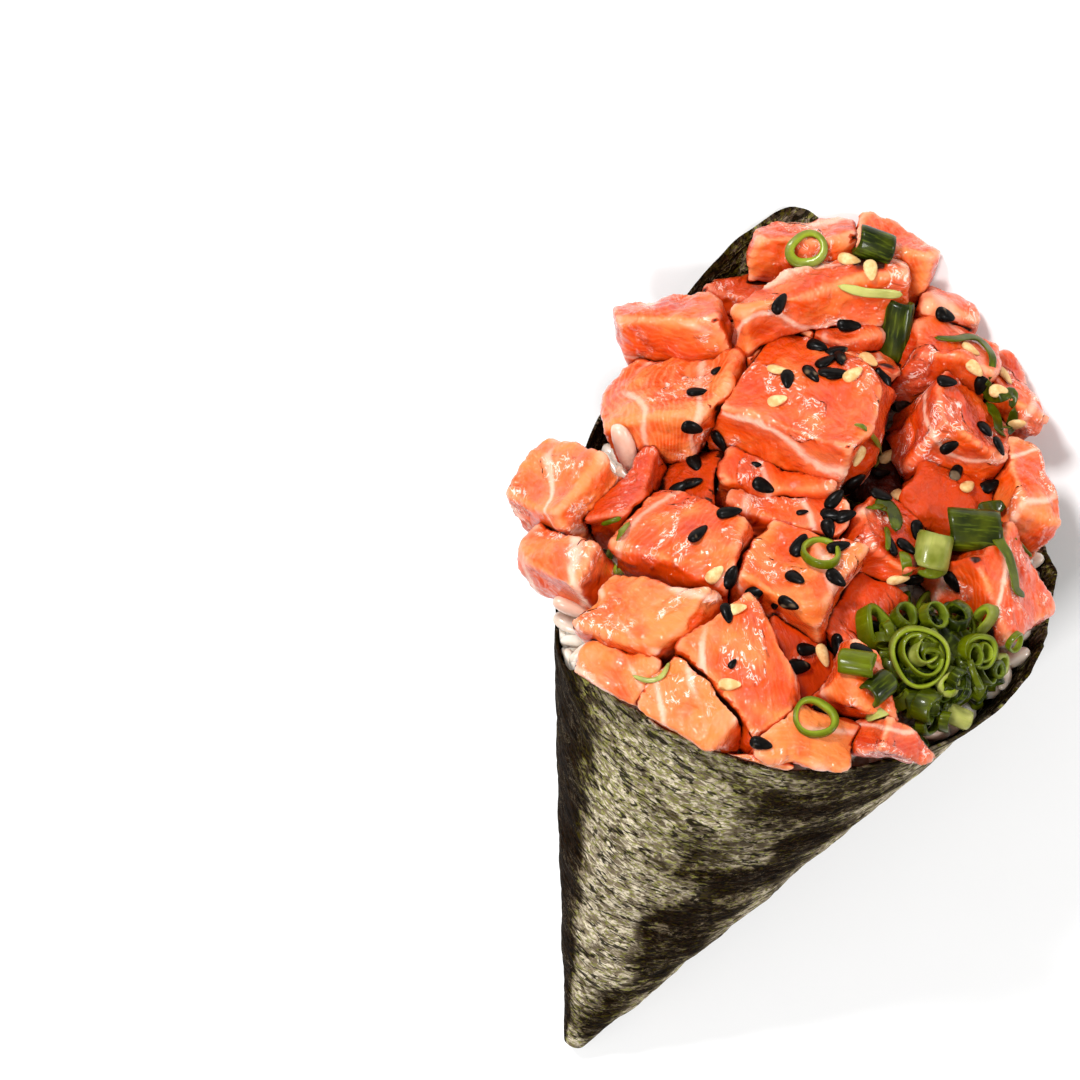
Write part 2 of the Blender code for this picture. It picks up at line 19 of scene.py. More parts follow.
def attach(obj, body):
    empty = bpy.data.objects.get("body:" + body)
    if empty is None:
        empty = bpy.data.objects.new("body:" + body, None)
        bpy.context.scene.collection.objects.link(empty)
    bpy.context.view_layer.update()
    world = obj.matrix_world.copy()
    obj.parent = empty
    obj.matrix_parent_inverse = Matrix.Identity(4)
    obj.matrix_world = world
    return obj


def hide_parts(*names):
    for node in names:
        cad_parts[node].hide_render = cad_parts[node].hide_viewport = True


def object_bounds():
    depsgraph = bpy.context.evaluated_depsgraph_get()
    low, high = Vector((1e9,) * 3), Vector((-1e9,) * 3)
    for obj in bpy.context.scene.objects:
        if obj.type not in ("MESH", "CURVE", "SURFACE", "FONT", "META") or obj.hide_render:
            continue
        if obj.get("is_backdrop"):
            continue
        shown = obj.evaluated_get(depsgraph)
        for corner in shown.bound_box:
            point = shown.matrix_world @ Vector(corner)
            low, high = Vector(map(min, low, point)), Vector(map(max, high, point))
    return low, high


MM = 0.001

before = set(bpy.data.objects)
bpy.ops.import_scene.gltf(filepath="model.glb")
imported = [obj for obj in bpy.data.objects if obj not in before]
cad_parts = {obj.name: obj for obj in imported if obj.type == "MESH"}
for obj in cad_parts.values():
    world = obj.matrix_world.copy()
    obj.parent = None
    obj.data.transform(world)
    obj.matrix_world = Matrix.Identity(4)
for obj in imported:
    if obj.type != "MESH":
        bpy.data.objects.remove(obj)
CAD_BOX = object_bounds()

# The frames, as the CAD has them
APEX = Vector((1.8593, -76.9192, 0)) * MM
CONE_HALF_ANGLE = math.radians(19.4)
AXIS_RISE = math.radians(17.8)
HEAP_TURN = math.radians(54)
HEAP_ZERO = 88.8
TAPER = math.tan(CONE_HALF_ANGLE)
AXIS = Vector((0, math.cos(AXIS_RISE), math.sin(AXIS_RISE)))
UPPER = Vector((0, -math.sin(AXIS_RISE), math.cos(AXIS_RISE)))
ACROSS = Vector((1, 0, 0))
UP_HEAP = math.sin(HEAP_TURN) * AXIS - math.cos(HEAP_TURN) * UPPER
OUT_OF_HEAP = math.cos(HEAP_TURN) * AXIS + math.sin(HEAP_TURN) * UPPER
CONE_AXES = np.array((AXIS, UPPER, ACROSS))
HEAP_AXES = np.array((ACROSS, UP_HEAP, OUT_OF_HEAP))

# The camera: a metre out of the heap, its lens and sensor in millimetres. The roll lies right of
# the frame's middle and below it, by these tangents
CAMERA_TURN = math.radians(24.8)
CAMERA_AWAY = 1000
LENS = 216.67
SENSOR = 36
ROLL_RIGHT = 0.03738
ROLL_DOWN = 0.01308
VIEW_POINT = (2.43, -9.5, 55)


def in_heap(angle):
    """The direction at that angle from +X in the heap's face."""
    return math.cos(angle) * ACROSS + math.sin(angle) * UP_HEAP


def from_heap(x, y, d):
    return APEX + (x * ACROSS + (HEAP_ZERO + y) * UP_HEAP + d * OUT_OF_HEAP) * MM


def from_cone(h, v, w):
    """Points given in the cone frame, as rows."""
    return np.array(APEX) + MM * np.stack((h, v, w), 1) @ CONE_AXES


def waves(points, wavelength, seed, count=20):
    """Smooth noise of about unit spread at the points."""
    dice = np.random.default_rng(seed)
    directions = dice.normal(size=(count, 3))
    directions /= np.linalg.norm(directions, axis=1)[:, None]
    rates = math.tau / wavelength * dice.uniform(0.65, 1.35, count)
    phases = dice.uniform(0, math.tau, count)
    angles = points @ (directions * rates[:, None]).T + phases
    return np.sin(angles).sum(axis=1) * math.sqrt(2 / count)


# Meshes


def surface(mesh):
    """The mesh's vertices and their normals."""
    columns = []
    for items, key in ((mesh.vertices, "co"), (mesh.vertex_normals, "vector")):
        flat = np.empty(len(items) * 3, np.float32)
        items.foreach_get(key, flat)
        columns.append(flat.reshape(-1, 3).astype(float))
    return columns


def set_coordinates(mesh, points):
    mesh.vertices.foreach_set("co", points.astype(np.float32).reshape(-1))
    mesh.update()


def attributes(mesh, **values):
    """Stores numbers or vectors for the vertices, or one number for all."""
    for name, value in values.items():
        value = np.asarray(value, np.float32)
        if value.ndim == 0:
            value = np.full(len(mesh.vertices), value)
        kind, key = ("FLOAT_VECTOR", "vector") if value.ndim == 2 else ("FLOAT", "value")
        made = mesh.attributes.new(name, kind, "POINT")
        made.data.foreach_set(key, value.reshape(-1))


def tree_of(meshes):
    """One search tree over the meshes."""
    points, faces = [], []
    for mesh in meshes:
        start = len(points)
        points += [vertex.co.copy() for vertex in mesh.vertices]
        faces += [[start + i for i in polygon.vertices] for polygon in mesh.polygons]
    return BVHTree.FromPolygons(points, faces)


def make_object(name, mesh, finish, slot, *replaced):
    """Puts the mesh in the scene as a piece that rides on the body."""
    obj = bpy.data.objects.new(name, mesh)
    bpy.context.scene.collection.objects.link(obj)
    mesh.materials.clear()
    mesh.materials.append(finish)
    mesh.shade_smooth()
    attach(obj, "root")
    if replaced:
        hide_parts(*replaced)
    return obj


def mesh_of(name, points, faces):
    """A mesh of closed shapes, its faces turned outward."""
    mesh = bpy.data.meshes.new(name)
    mesh.from_pydata([tuple(p) for p in points], [], [tuple(f) for f in faces])
    bm = bmesh.new()
    bm.from_mesh(mesh)
    bmesh.ops.recalc_face_normals(bm, faces=bm.faces)
    bm.to_mesh(mesh)
    bm.free()
    mesh.update()
    return mesh


class Heap:
    """Gathers many small meshes, with their attributes, into one mesh."""

    def __init__(self, *names):
        self.points, self.faces, self.count = [], [], 0
        self.values = {name: [] for name in names}

    def add(self, points, faces, **values):
        self.points.append(points)
        self.faces += [tuple(i + self.count for i in face) for face in faces]
        self.count += len(points)
        for name, value in values.items():
            self.values[name].append(value if np.ndim(value) else np.full(len(points), value))

    def mesh(self, name):
        made = mesh_of(name, np.concatenate(self.points), self.faces)
        attributes(made, **{key: np.concatenate(parts) for key, parts in self.values.items()})
        return made


def ring_faces(rings, sides, looped=False):
    """Quads between rings of vertices, and from the last to the first if looped."""
    faces = []
    for ring in range(rings if looped else rings - 1):
        a, b = ring * sides, (ring + 1) % rings * sides
        for side in range(sides):
            after = (side + 1) % sides
            faces.append((a + side, a + after, b + after, b + side))
    return faces


def spindle(start, rings, end):
    """(points, faces) of a closed shape: a point, rings of points, and a last point."""
    sides = len(rings[0])
    points = [start] + [point for ring in rings for point in ring] + [end]
    faces = [tuple(1 + i for i in face) for face in ring_faces(len(rings), sides)]
    last = len(points) - 1
    for side in range(sides):
        after = (side + 1) % sides
        faces.append((0, 1 + after, 1 + side))
        faces.append((last, last - sides + side, last - sides + after))
    return np.array(points), faces


BEAN_RINGS = 9
BEAN_SIDES = 10


def bean(size, power, blunt, bend=0):
    """(points, faces) of a grain or seed along x, blunter at its first end."""
    length, width, thickness = size
    turns = [math.tau * side / BEAN_SIDES for side in range(BEAN_SIDES)]
    rings = []
    for ring in range(1, BEAN_RINGS):
        a = math.pi * ring / BEAN_RINGS
        reach = math.sin(a) ** power * (1 + blunt * math.cos(a)) / 2
        x = -math.cos(a) * length / 2
        sag = bend * (1 - (2 * x / length) ** 2)
        rings.append([
            (x, reach * math.cos(b) * width + sag, reach * math.sin(b) * thickness) for b in turns
        ])
    return spindle((-length / 2, 0, 0), rings, (length / 2, 0, 0))


PROUD_ROUNDS = 16


def proud_of(mesh, points, outward):
    """How far each point stands proud of the smoothed shape, in mm: most along the cut edges."""
    ends = np.empty(len(mesh.edges) * 2, np.int32)
    mesh.edges.foreach_get("vertices", ends)
    count = len(points)
    degree = np.maximum(1, np.bincount(ends, minlength=count))[:, None]
    across = ends.reshape(-1, 2)[:, ::-1].reshape(-1)
    smooth = points
    for _ in range(PROUD_ROUNDS):
        smooth = np.stack([np.bincount(ends, smooth[across, k], count) for k in range(3)], 1) / degree
    return ((points - smooth) * outward).sum(axis=1) / MM


# Materials


class Finish:
    """A material's node tree, with short calls for the nodes used here."""

    def __init__(self, name):
        self.material = bpy.data.materials.new(name)
        self.material.use_nodes = True
        self.tree = self.material.node_tree
        self.shader = self.tree.nodes["Principled BSDF"]

    def put(self, socket, value):
        if isinstance(value, bpy.types.NodeSocket):
            self.tree.links.new(value, socket)
        else:
            socket.default_value = value

    def node(self, kind, settings, *first, **named):
        """Adds a node, its inputs given in order or by name."""
        made = self.tree.nodes.new("ShaderNode" + kind)
        for key, value in settings.items():
            setattr(made, key, value)
        for number, value in enumerate(first):
            self.put(made.inputs[number], value)
        for key, value in named.items():
            self.put(made.inputs[key], value)
        return made

    def set(self, **inputs):
        for key, value in inputs.items():
            self.put(self.shader.inputs[key.replace("_", " ")], value)

    def place(self):
        return self.node("TexCoord", {}).outputs["Object"]

    def vector(self, name):
        """A vector stored for each vertex."""
        return self.node("Attribute", {"attribute_name": name}).outputs["Vector"]

    def numbers(self, *names):
        """Numbers stored for each vertex."""
        return [self.node("Attribute", {"attribute_name": name}).outputs["Fac"] for name in names]

    def math(self, operation, *values):
        return self.node("Math", {"operation": operation}, *values).outputs[0]

    def times(self, one, other):
        return self.math("MULTIPLY", one, other)

    def plus(self, value, factor, more):
        """The value times the factor, plus more."""
        return self.math("MULTIPLY_ADD", value, factor, more)

    def less(self, value, other):
        return self.math("SUBTRACT", value, other)

    def off(self, value, middle):
        """How far the value is from the middle, to either side."""
        return self.math("ABSOLUTE", self.less(value, middle))

    def ramp(self, value, low, high, start=0, end=1):
        """start at low and below, end at high and above, smooth between them."""
        settings = {"interpolation_type": "SMOOTHSTEP"}
        return self.node("MapRange", settings, value, low, high, start, end).outputs[0]

    def mix(self, share, one, other):
        """One colour, and the other by that share; a colour is a socket or a screen colour."""
        made = self.node("Mix", {"data_type": "RGBA"}, share)
        for number, value in ((6, one), (7, other)):
            self.put(made.inputs[number], colour(*value) if isinstance(value, tuple) else value)
        return made.outputs[2]

    def noise(self, where, scale, detail=2, roughness=0.5, distortion=0):
        named = {"Scale": scale, "Detail": detail, "Roughness": roughness, "Distortion": distortion}
        return self.node("TexNoise", {}, Vector=where, **named).outputs[0]

    def stretched(self, where, x, y, z):
        """The place with its axes scaled."""
        return self.node("VectorMath", {"operation": "MULTIPLY"}, where, (x, y, z)).outputs[0]

    def bump(self, height, distance, strength=1, under=None):
        made = self.node("Bump", {}, Height=height, Distance=distance, Strength=strength)
        if under is not None:
            self.put(made.inputs["Normal"], under)
        return made.outputs[0]


def colour(red, green, blue):
    """A colour given as 0 to 255 on the screen, as the shader takes it."""
    linear = []
    for part in (red, green, blue):
        part /= 255
        linear.append(part / 12.92 if part <= 0.04045 else ((part + 0.055) / 1.055) ** 2.4)
    return (*linear, 1)


# Salmon

# Name, how pale (0 deep orange, 1 pale; most pieces that lie in shadow are set deep, as painted
# shade), how strong its fat lines and its fine grain are, the turn of the fat lines' normal in the
# heap's face and its lean out of it in degrees, the gap between fat lines, where one lies from the
# piece's middle, and for some how closed in they are, added to their painted shade
FLESH = {
    "crown": (0.45, 1, 0.25, 84, 0, 17, -3),
    "arc": (0.50, 1, 0.3, 0, 0, 7, -3.2),
    "left_slab": (0.70, 0.7, 1, 25, 0, 9, 4.5),
    "middle_slab": (0.42, 0.5, 0.35, -15, 10, 16, 8),
    "middle_block": (0.66, 0.9, 0.2, 70, 25, 9.5, -3.5),
    "left_cube": (0.76, 1, 0.2, 60, 30, 8, 1.5),
    "right_block": (0.25, 0.8, 0.2, 75, 20, 11, 3),
    "right_top": (0.30, 0.4, 0.3, 60, 0, 12, 5),
    "low_middle": (0.52, 1, 0.2, 25, -10, 13, -6.3),
    "low_left": (0.76, 0.9, 0.3, 80, 25, 8.5, 1),
    "right_rim": (0.34, 1, 0.4, 30, 0, 9, 1.5),
    "right_face": (0.16, 0.7, 0.2, 120, 20, 14, 6, 0.08),
    "low_right": (0.42, 0.6, 0.4, 60, 10, 9, -3.5),
    "left_back": (0.45, 0.9, 0.4, 95, 20, 9, 3.5),
    "side_left": (0.62, 1, 0.3, 20, 10, 7, 2),
    "back_slab": (0.40, 0.8, 0.4, 110, 10, 9, -3.5),
    "back_top": (0.62, 0.6, 0.6, 40, 0, 9, -3),
    "far_right": (0.35, 0.6, 0.3, 20, 0, 9, 3),
    "right_band": (0.62, 0.9, 0.3, -35, 0, 7, 2.5),
    "front_right": (0.82, 0.8, 0.5, 100, 10, 6, 2.5),
    "front_far_right": (0.34, 0.8, 0.3, 110, 0, 8, 2.5),
    "back_edge": (0.35, 0.6, 0.3, 60, 0, 8, 2),
    "crown_side": (0.45, 0.7, 0.4, 20, 0, 6, 1),
    "crown_lobe": (0.75, 0.9, 0.3, 20, 0, 6, 2),
    "under_arc": (0.25, 0.9, 0.3, 30, 0, 8, -2.5, 0.14),
    "tongue": (0.55, 1, 0.3, 0, 0, 5, -2, 0.05),
    "behind_crown": (0.05, 0.2, 0.2, 40, 0, 9, 4, 0.30),
    "left_edge": (0.15, 0.5, 0.2, 40, 0, 7, 2, 0.14),
    "under_crown": (0.30, 0.8, 0.2, 60, 0, 8, 2, 0.08),
    "under_middle": (0.32, 0.8, 0.2, 30, 0, 7, 2, 0.06),
    "front_middle": (0.90, 1, 0.4, 30, 0, 5, 1),
    "front_left": (0.80, 1, 0.4, 60, 0, 5.5, 1.5),
    "front_low": (0.86, 0.8, 0.4, 40, 0, 5, 1),
    "in_shade_left": (0.05, 0.4, 0.2, 20, 0, 7, 2, 0.14),
    "in_shade_middle": (0.05, 0.3, 0.2, 70, 0, 8, 2, 0.40),
    "in_shade_low": (0.05, 0.3, 0.2, 40, 0, 8, 2, 0.18),
    "in_shade_right": (0.05, 0.3, 0.2, 20, 0, 8, 2, 0.30),
    "in_hollow": (0.05, 0.3, 0.2, 60, 0, 8, 2, 0.75),
    "under_face": (0.10, 0.4, 0.2, 50, 0, 7, 2, 0.18),
}
FLESH_VOXEL = 0.5 * MM
# How far the flesh stands out from the CAD node, and how far its slow and quick swells reach
FLESH_GROWN = 0.42
SLOW_SWELL, SLOW_LENGTH = 0.24, 9
QUICK_SWELL, QUICK_LENGTH = 0.12, 3.8
WRINKLE, WRINKLE_LENGTH = 0.06, 1.7
RIPPLE, RIPPLE_LENGTH = 0.035, 0.95
# Painted light: how much paler the upper face of a piece is painted than its sides, and where the
# sides begin
PAINTED_LIGHT_FACING, FACING_ZERO = 0.55, 0.8
FLESH_BEND, BEND_LENGTH = 0.60, 19
SHADE_REACH = 6 * MM
SHADE_TILTS = ((0, 0, 0), (0.8, 0, 0), (-0.8, 0, 0), (0, 0.8, 0), (0, 0, 0.8))
# The curved slice's bend: its centre in the heap frame, its radius, and where a fat line lies
ARC_CENTRE = (3.4, 11, 59)
ARC_RADIUS = 31.5
ARC_LINE = 1.6
# Pieces are held inside the nori up to this far over its lip, and let go over the fade
LIP_HOLD, LIP_FADE = 4, 3.4


def piece_mesh(node, voxel, smoothing):
    """A fine, even copy of a CAD node's mesh, its edges rounded by the smoothing."""
    bm = bmesh.new()
    bm.from_mesh(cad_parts[node].data)
    bmesh.ops.remove_doubles(bm, verts=bm.verts, dist=0.01 * MM)
    mesh = bpy.data.meshes.new(node + "_copy")
    bm.to_mesh(mesh)
    bm.free()
    obj = bpy.data.objects.new(node + "_copy", mesh)
    bpy.context.scene.collection.objects.link(obj)
    remesh = obj.modifiers.new("remesh", "REMESH")
    remesh.mode = "VOXEL"
    remesh.voxel_size = voxel
    smooth = obj.modifiers.new("smooth", "SMOOTH")
    smooth.iterations = smoothing
    smooth.factor = 0.5
    graph = bpy.context.evaluated_depsgraph_get()
    fine = bpy.data.meshes.new_from_object(obj.evaluated_get(graph))
    bpy.data.objects.remove(obj)
    fine.name = node + "_fine"
    return fine


def inside_cone(points, clear):
    """Draws the points in, to lie that far inside the nori's outer face."""
    h, v, w = ((points - np.array(APEX)) / MM @ CONE_AXES.T).T
    radius, turn = np.hypot(v, w), np.arctan2(w, v)
    most = h * TAPER * (1 + hand_rolled(h, turn)) - clear
    held = np.clip((lip(turn) + LIP_HOLD - h) / LIP_FADE, 0, 1)
    share = 1 - held * (1 - np.minimum(1, most / np.maximum(radius, 1e-6)))
    drawn = from_cone(h, v * share, w * share)
    drawn[:, 2] = np.maximum(drawn[:, 2], clear * MM)
    return drawn


def grain_frame(middle, turn, lean, offset, local):
    """Places within a piece, in millimetres, with x across its fat lines."""
    turn, lean = math.radians(turn), math.radians(lean)
    x = math.cos(lean) * in_heap(turn) + math.sin(lean) * OUT_OF_HEAP
    y = x.cross(OUT_OF_HEAP).normalized()
    z = x.cross(y)
    axes = np.array((x, y, z)).T
    placed = (local - middle) / MM @ axes
    placed[:, 0] -= offset
    return placed


def arc_frame(points):
    """Places within the curved slice, with x out along its radius and y round it."""
    x, y, z = ((points - np.array(from_heap(*ARC_CENTRE))) / MM @ HEAP_AXES.T).T
    out = np.hypot(x, y) - ARC_RADIUS + ARC_LINE
    return np.stack((out, ARC_RADIUS * np.arctan2(y, x), z), 1)


def shade_of(tree, points, directions):
    """How closed in each point is, from 0 in the open to 1 in a crevice."""
    values = np.zeros(len(points))
    for i, (point, direction) in enumerate(zip(points, directions)):
        along = Vector(direction)
        start = Vector(point) + along * 0.35 * MM
        for tilt in SHADE_TILTS:
            away = tree.ray_cast(start, (along + Vector(tilt)).normalized(), SHADE_REACH)[3]
            if away is not None:
                values[i] += (1 - away / SHADE_REACH) / len(SHADE_TILTS)
    return values


def bent(points):
    """All the pieces bent by one slow drift, so that no cut face stays flat."""
    drift = np.stack([waves(points / MM, BEND_LENGTH, 70 + axis) for axis in range(3)], 1)
    return points + drift * FLESH_BEND * MM


def flesh_piece(name, finish, tree, seed):
    tone, fat, grain, turn, lean, spacing, offset, *shaded = FLESH[name]
    mesh = piece_mesh("salmon_" + name, FLESH_VOXEL, 2)
    points, outward = surface(mesh)
    in_mm = points / MM
    if name == "arc":
        placed = arc_frame(points)
    else:
        placed = grain_frame(points.mean(axis=0), turn, lean, offset, points)
    edge = proud_of(mesh, points, outward)
    # How much painted shade each point gets: closed-in crevices, plus more for the pieces in shadow
    shade = shade_of(tree, points, outward) + sum(shaded)
    out = FLESH_GROWN + SLOW_SWELL * waves(in_mm, SLOW_LENGTH, seed)
    out += QUICK_SWELL * waves(in_mm, QUICK_LENGTH, seed + 1)
    out += WRINKLE * waves(in_mm, WRINKLE_LENGTH, seed + 2)
    phase = (placed[:, 0] + 0.5 * waves(in_mm, 6, seed)) / RIPPLE_LENGTH
    out += RIPPLE * grain * np.sin(math.tau * phase)
    set_coordinates(mesh, inside_cone(bent(points + outward * (out * MM)[:, None]), 0.75))
    # Painted light: faces turned out of the heap are painted paler than the sides
    facing = outward @ HEAP_AXES[2] - FACING_ZERO
    pale = tone + PAINTED_LIGHT_FACING * facing + 0.10 * waves(in_mm, 7, seed + 4)
    line = (placed[:, 0] + 0.8 * waves(in_mm, 13, seed + 3)) / spacing
    attributes(mesh, placed=placed + seed * 3.7, line=line, spacing=spacing, fat=fat)
    attributes(mesh, grain=grain, pale=pale, edge=edge, shade=shade)
    return make_object("flesh_" + name, mesh, finish, "salmon", "salmon_" + name)


def flesh_finish():
    """Wet raw salmon: orange flesh, pale fat lines, a fine grain, painted shade in the crevices."""
    f = Finish("salmon_flesh")
    placed = f.vector("placed")
    line, spacing, pale, fat, grain, shade, edge = f.numbers(
        "line", "spacing", "pale", "fat", "grain", "shade", "edge"
    )
    blotch = f.noise(placed, 0.20, 3, 0.6)
    tone = f.plus(blotch, 1.5, f.less(pale, 0.75))
    # Painted light: paler along the cut edges, in place of highlights and light through thin flesh
    tone = f.plus(f.ramp(edge, 0.12, 0.7), 0.45, tone)
    flesh = f.mix(f.ramp(tone, -0.15, 0.45), (180, 42, 0), (212, 68, 0))
    flesh = f.mix(f.ramp(tone, 0.35, 1.05), flesh, (228, 122, 54))
    # Fine grain, as paler threads beside the fat lines
    across = f.plus(line, spacing, f.times(f.noise(placed, 0.12, 1), 6))
    threads = f.math("SINE", f.times(across, 6.6))
    threads = f.times(f.ramp(threads, -0.2, 1), f.times(grain, 0.30))
    flesh = f.mix(threads, flesh, (236, 144, 92))
    # Fat lines, each a soft band with a ragged edge, fading in places
    ragged = f.plus(f.noise(placed, 0.7, 3, 0.6), 0.7, -0.35)
    away = f.math("ADD", f.times(f.math("PINGPONG", line, 0.5), spacing), ragged)
    present = f.times(fat, f.ramp(f.noise(placed, 0.10, 1), 0.32, 0.50))
    halo = f.times(f.ramp(away, 0.1, 2.4, 1, 0), present)
    flesh = f.mix(f.times(halo, 0.30), flesh, (232, 142, 98))
    middle = f.times(f.ramp(away, 0.05, 0.75, 1, 0), present)
    flesh = f.mix(f.times(middle, 0.82), flesh, (240, 192, 168))
    # The wet surface: soft wrinkles, gathered in patches that glint
    patches = f.ramp(f.noise(placed, 0.15), 0.54, 0.61)
    wrinkle = f.noise(f.stretched(placed, 1, 0.5, 0.8), 0.7, 2, 0.5, 0.8)
    under = f.bump(f.times(wrinkle, f.plus(patches, 1, 0.6)), 0.5 * MM, 0.9)
    film = f.noise(f.stretched(placed, 1, 0.7, 0.8), 1.25, 1, 0.5, 1.2)
    wet = f.bump(f.times(film, f.plus(patches, 2, 0.20)), 2.2 * MM, 1, under)
    # Painted glints: in the patches fine pale threads are painted where the wet film catches the
    # light
    curl = f.noise(f.stretched(placed, 1, 0.6, 0.8), 0.9, 2, 0.55, 1.6)
    near = f.ramp(f.off(curl, 0.5), 0.012, 0.05, 1, 0)
    painted_glints = f.times(near, f.times(f.ramp(f.noise(placed, 0.8), 0.46, 0.56), patches))
    # Painted sheen: the glinting patches a little paler
    flesh = f.mix(f.times(patches, 0.14), flesh, (238, 150, 116))
    flesh = f.mix(f.times(painted_glints, 0.85), flesh, (252, 226, 214))
    # Painted light: the cut edges paler still
    flesh = f.mix(f.times(f.ramp(edge, 0.30, 0.85), 0.55), flesh, (240, 176, 144))
    # Painted shade: deeper between the pieces, and nearly black where nothing gets in
    deep = f.mix(f.ramp(shade, 0.02, 0.30, 0, 0.95), flesh, (188, 54, 0))
    f.set(Base_Color=f.mix(f.ramp(shade, 0.36, 0.85, 0, 0.97), deep, (26, 6, 1)))
    f.set(Normal=under, Coat_Normal=wet, Coat_Roughness=0.07, Coat_IOR=1.41)
    f.set(Roughness=f.ramp(blotch, 0.3, 0.7, 0.36, 0.5), IOR=1.38, Specular_IOR_Level=0.2)
    f.set(Coat_Weight=f.ramp(shade, 0.05, 0.45, 1, 0.3))
    f.set(Subsurface_Weight=0.18, Subsurface_Scale=1.4 * MM, Subsurface_Radius=(1, 0.25, 0.08))
    return f.material


def make_flesh():
    tree = tree_of([obj.data for node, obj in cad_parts.items() if node != "nori"])
    finish = flesh_finish()
    return [flesh_piece(name, finish, tree, 10 + 7 * i) for i, name in enumerate(FLESH)]


# Nori

# The lip's outline and the roll's unevenness, in millimetres, as the CAD has them
LIP_MIDDLE, LIP_SLANT, LIP_TWIST = 107.5, 12, 3
CORNER_RISE, CORNER_TURN, CORNER_SPREAD = 23, math.radians(-152), math.radians(24)
DIP_FALL, DIP_TURN, DIP_SPREAD = 13, math.radians(-66), math.radians(25)
SEAM_TURN = math.radians(97)
SEAM_STEP = 0.35
TIP_RADIUS = 2
SHEET = 0.45
FLAT_HOLLOW = 0.15
LIP_RAGGED = 0.28
# The crinkles fade in over this stretch from the tip, and the seam's step over the other
CRINKLES_FROM, CRINKLES_OVER = 6, 16
SEAM_FROM, SEAM_OVER = 12, 14
NORI_AROUND, NORI_ALONG = 400, 180
INNER_ALONG, INNER_FROM = 60, 55


def swell(away, spread):
    """1 where the turn is reached, falling off to both sides."""
    away = np.remainder(away + math.pi, math.tau) - math.pi
    return np.exp(-((away / spread) ** 2))


def lip(turn):
    plain = LIP_MIDDLE - LIP_SLANT * np.cos(turn) + LIP_TWIST * np.sin(turn)
    corner = CORNER_RISE * swell(turn - CORNER_TURN, CORNER_SPREAD)
    return plain + corner - DIP_FALL * swell(turn - DIP_TURN, DIP_SPREAD)


def hand_rolled(h, turn):
    """The small unevenness of a cone rolled by hand, as a share of the radius."""
    h = h * MM
    return 0.008 * np.sin(2 * turn + 40 * h) + 0.005 * np.sin(5 * turn - 65 * h)


def sheet_places(h, turn):
    """Where each point lies on the flat sheet, in millimetres."""
    round_seam = np.remainder(turn - SEAM_TURN, math.tau) - math.tau
    fan = (round_seam + SEAM_TURN) * math.sin(CONE_HALF_ANGLE)
    reach = h / math.cos(CONE_HALF_ANGLE)
    return np.stack((reach * np.sin(fan), reach * np.cos(fan), np.zeros_like(h)), 1)


def crinkles(places):
    """The sheet's relief in millimetres: long soft folds, and short ones over them."""
    folds = 0.16 * waves(places * (0.35, 1, 1), 9, 31)
    ridges = 1 - np.abs(waves(places * (0.5, 1, 1), 4.2, 32, 30))
    return folds + 0.07 * ridges + 0.05 * waves(places * (0.6, 1, 1), 2, 33, 40) - 0.12


def nori_surface(inset, rows, lowest):
    """Points on the nori's outer face, or inset from it, their places on the sheet, h and turn."""
    turns = SEAM_TURN + math.tau * np.arange(NORI_AROUND) / NORI_AROUND
    turn = np.tile(turns, rows)
    ball = TIP_RADIUS / math.sin(CONE_HALF_ANGLE)
    start = max(lowest, ball - TIP_RADIUS * 0.98)
    shares = np.linspace(0, 1, rows) ** 0.85
    ragged = LIP_RAGGED * waves(np.stack((turns * 30, turns * 0, turns * 0), 1), 5, 3)
    h = (start + (lip(turns) + ragged - start) * shares[:, None]).reshape(-1)
    radius = h * TAPER * (1 + hand_rolled(h, turn))
    # The tip is a ball that the cone's side meets smoothly
    round_tip = np.sqrt(np.maximum(0, TIP_RADIUS**2 - np.maximum(0, ball - h) ** 2))
    radius = np.where(h < ball - TIP_RADIUS * math.sin(CONE_HALF_ANGLE), round_tip, radius)
    step = SEAM_STEP * np.remainder((turn - SEAM_TURN) / math.tau, 1)
    radius += step * np.clip((h - SEAM_FROM) / SEAM_OVER, 0, 1) - inset
    places = sheet_places(h, turn)
    radius += crinkles(places) * np.clip((h - CRINKLES_FROM) / CRINKLES_OVER, 0, 1)
    points = from_cone(h, radius * np.cos(turn), radius * np.sin(turn))
    hollow = FLAT_HOLLOW * np.maximum(0, np.sin(math.pi * h / (LIP_MIDDLE + LIP_SLANT)))
    points[:, 2] = np.maximum(points[:, 2], (hollow + inset) * MM)
    return points, places, h, turn


def make_nori():
    outer = nori_surface(0, NORI_ALONG, 0)
    inner = nori_surface(SHEET, INNER_ALONG, INNER_FROM)
    columns = NORI_AROUND
    start = NORI_ALONG * columns
    top, inner_top = start - columns, start + (INNER_ALONG - 1) * columns
    tip = inner_top + columns
    faces = [face[::-1] for face in ring_faces(NORI_ALONG, columns)]
    faces += [tuple(start + i for i in face) for face in ring_faces(INNER_ALONG, columns)]
    for k in range(columns):
        after = (k + 1) % columns
        faces.append((top + k, inner_top + k, inner_top + after, top + after))
        faces.append((k, after, tip))
        faces.append((start + after, start + k, tip + 1))
    ends = [side[0][:columns].mean(axis=0) for side in (outer, inner)]
    ends[0] = ends[0] - np.array(AXIS) * 0.04 * MM
    mesh = mesh_of("nori_sheet", [*outer[0], *inner[0], *ends], faces)
    places, h, turn = [
        np.concatenate((one, other, one[:1], other[:1])) for one, other in zip(outer[1:], inner[1:])
    ]
    across = np.degrees(np.remainder(turn + math.pi, math.tau) - math.pi)
    worn, green = sheen_of(h, across, places), green_of(h, across)
    attributes(mesh, sheet=places, worn=worn, green=green)
    return make_object("nori_sheet", mesh, nori_finish(), "nori", "nori")


def band(value, middle, half, soft):
    """1 within half of the middle, falling to 0 over soft more."""
    return np.clip((half + soft - np.abs(value - middle)) / soft, 0, 1)


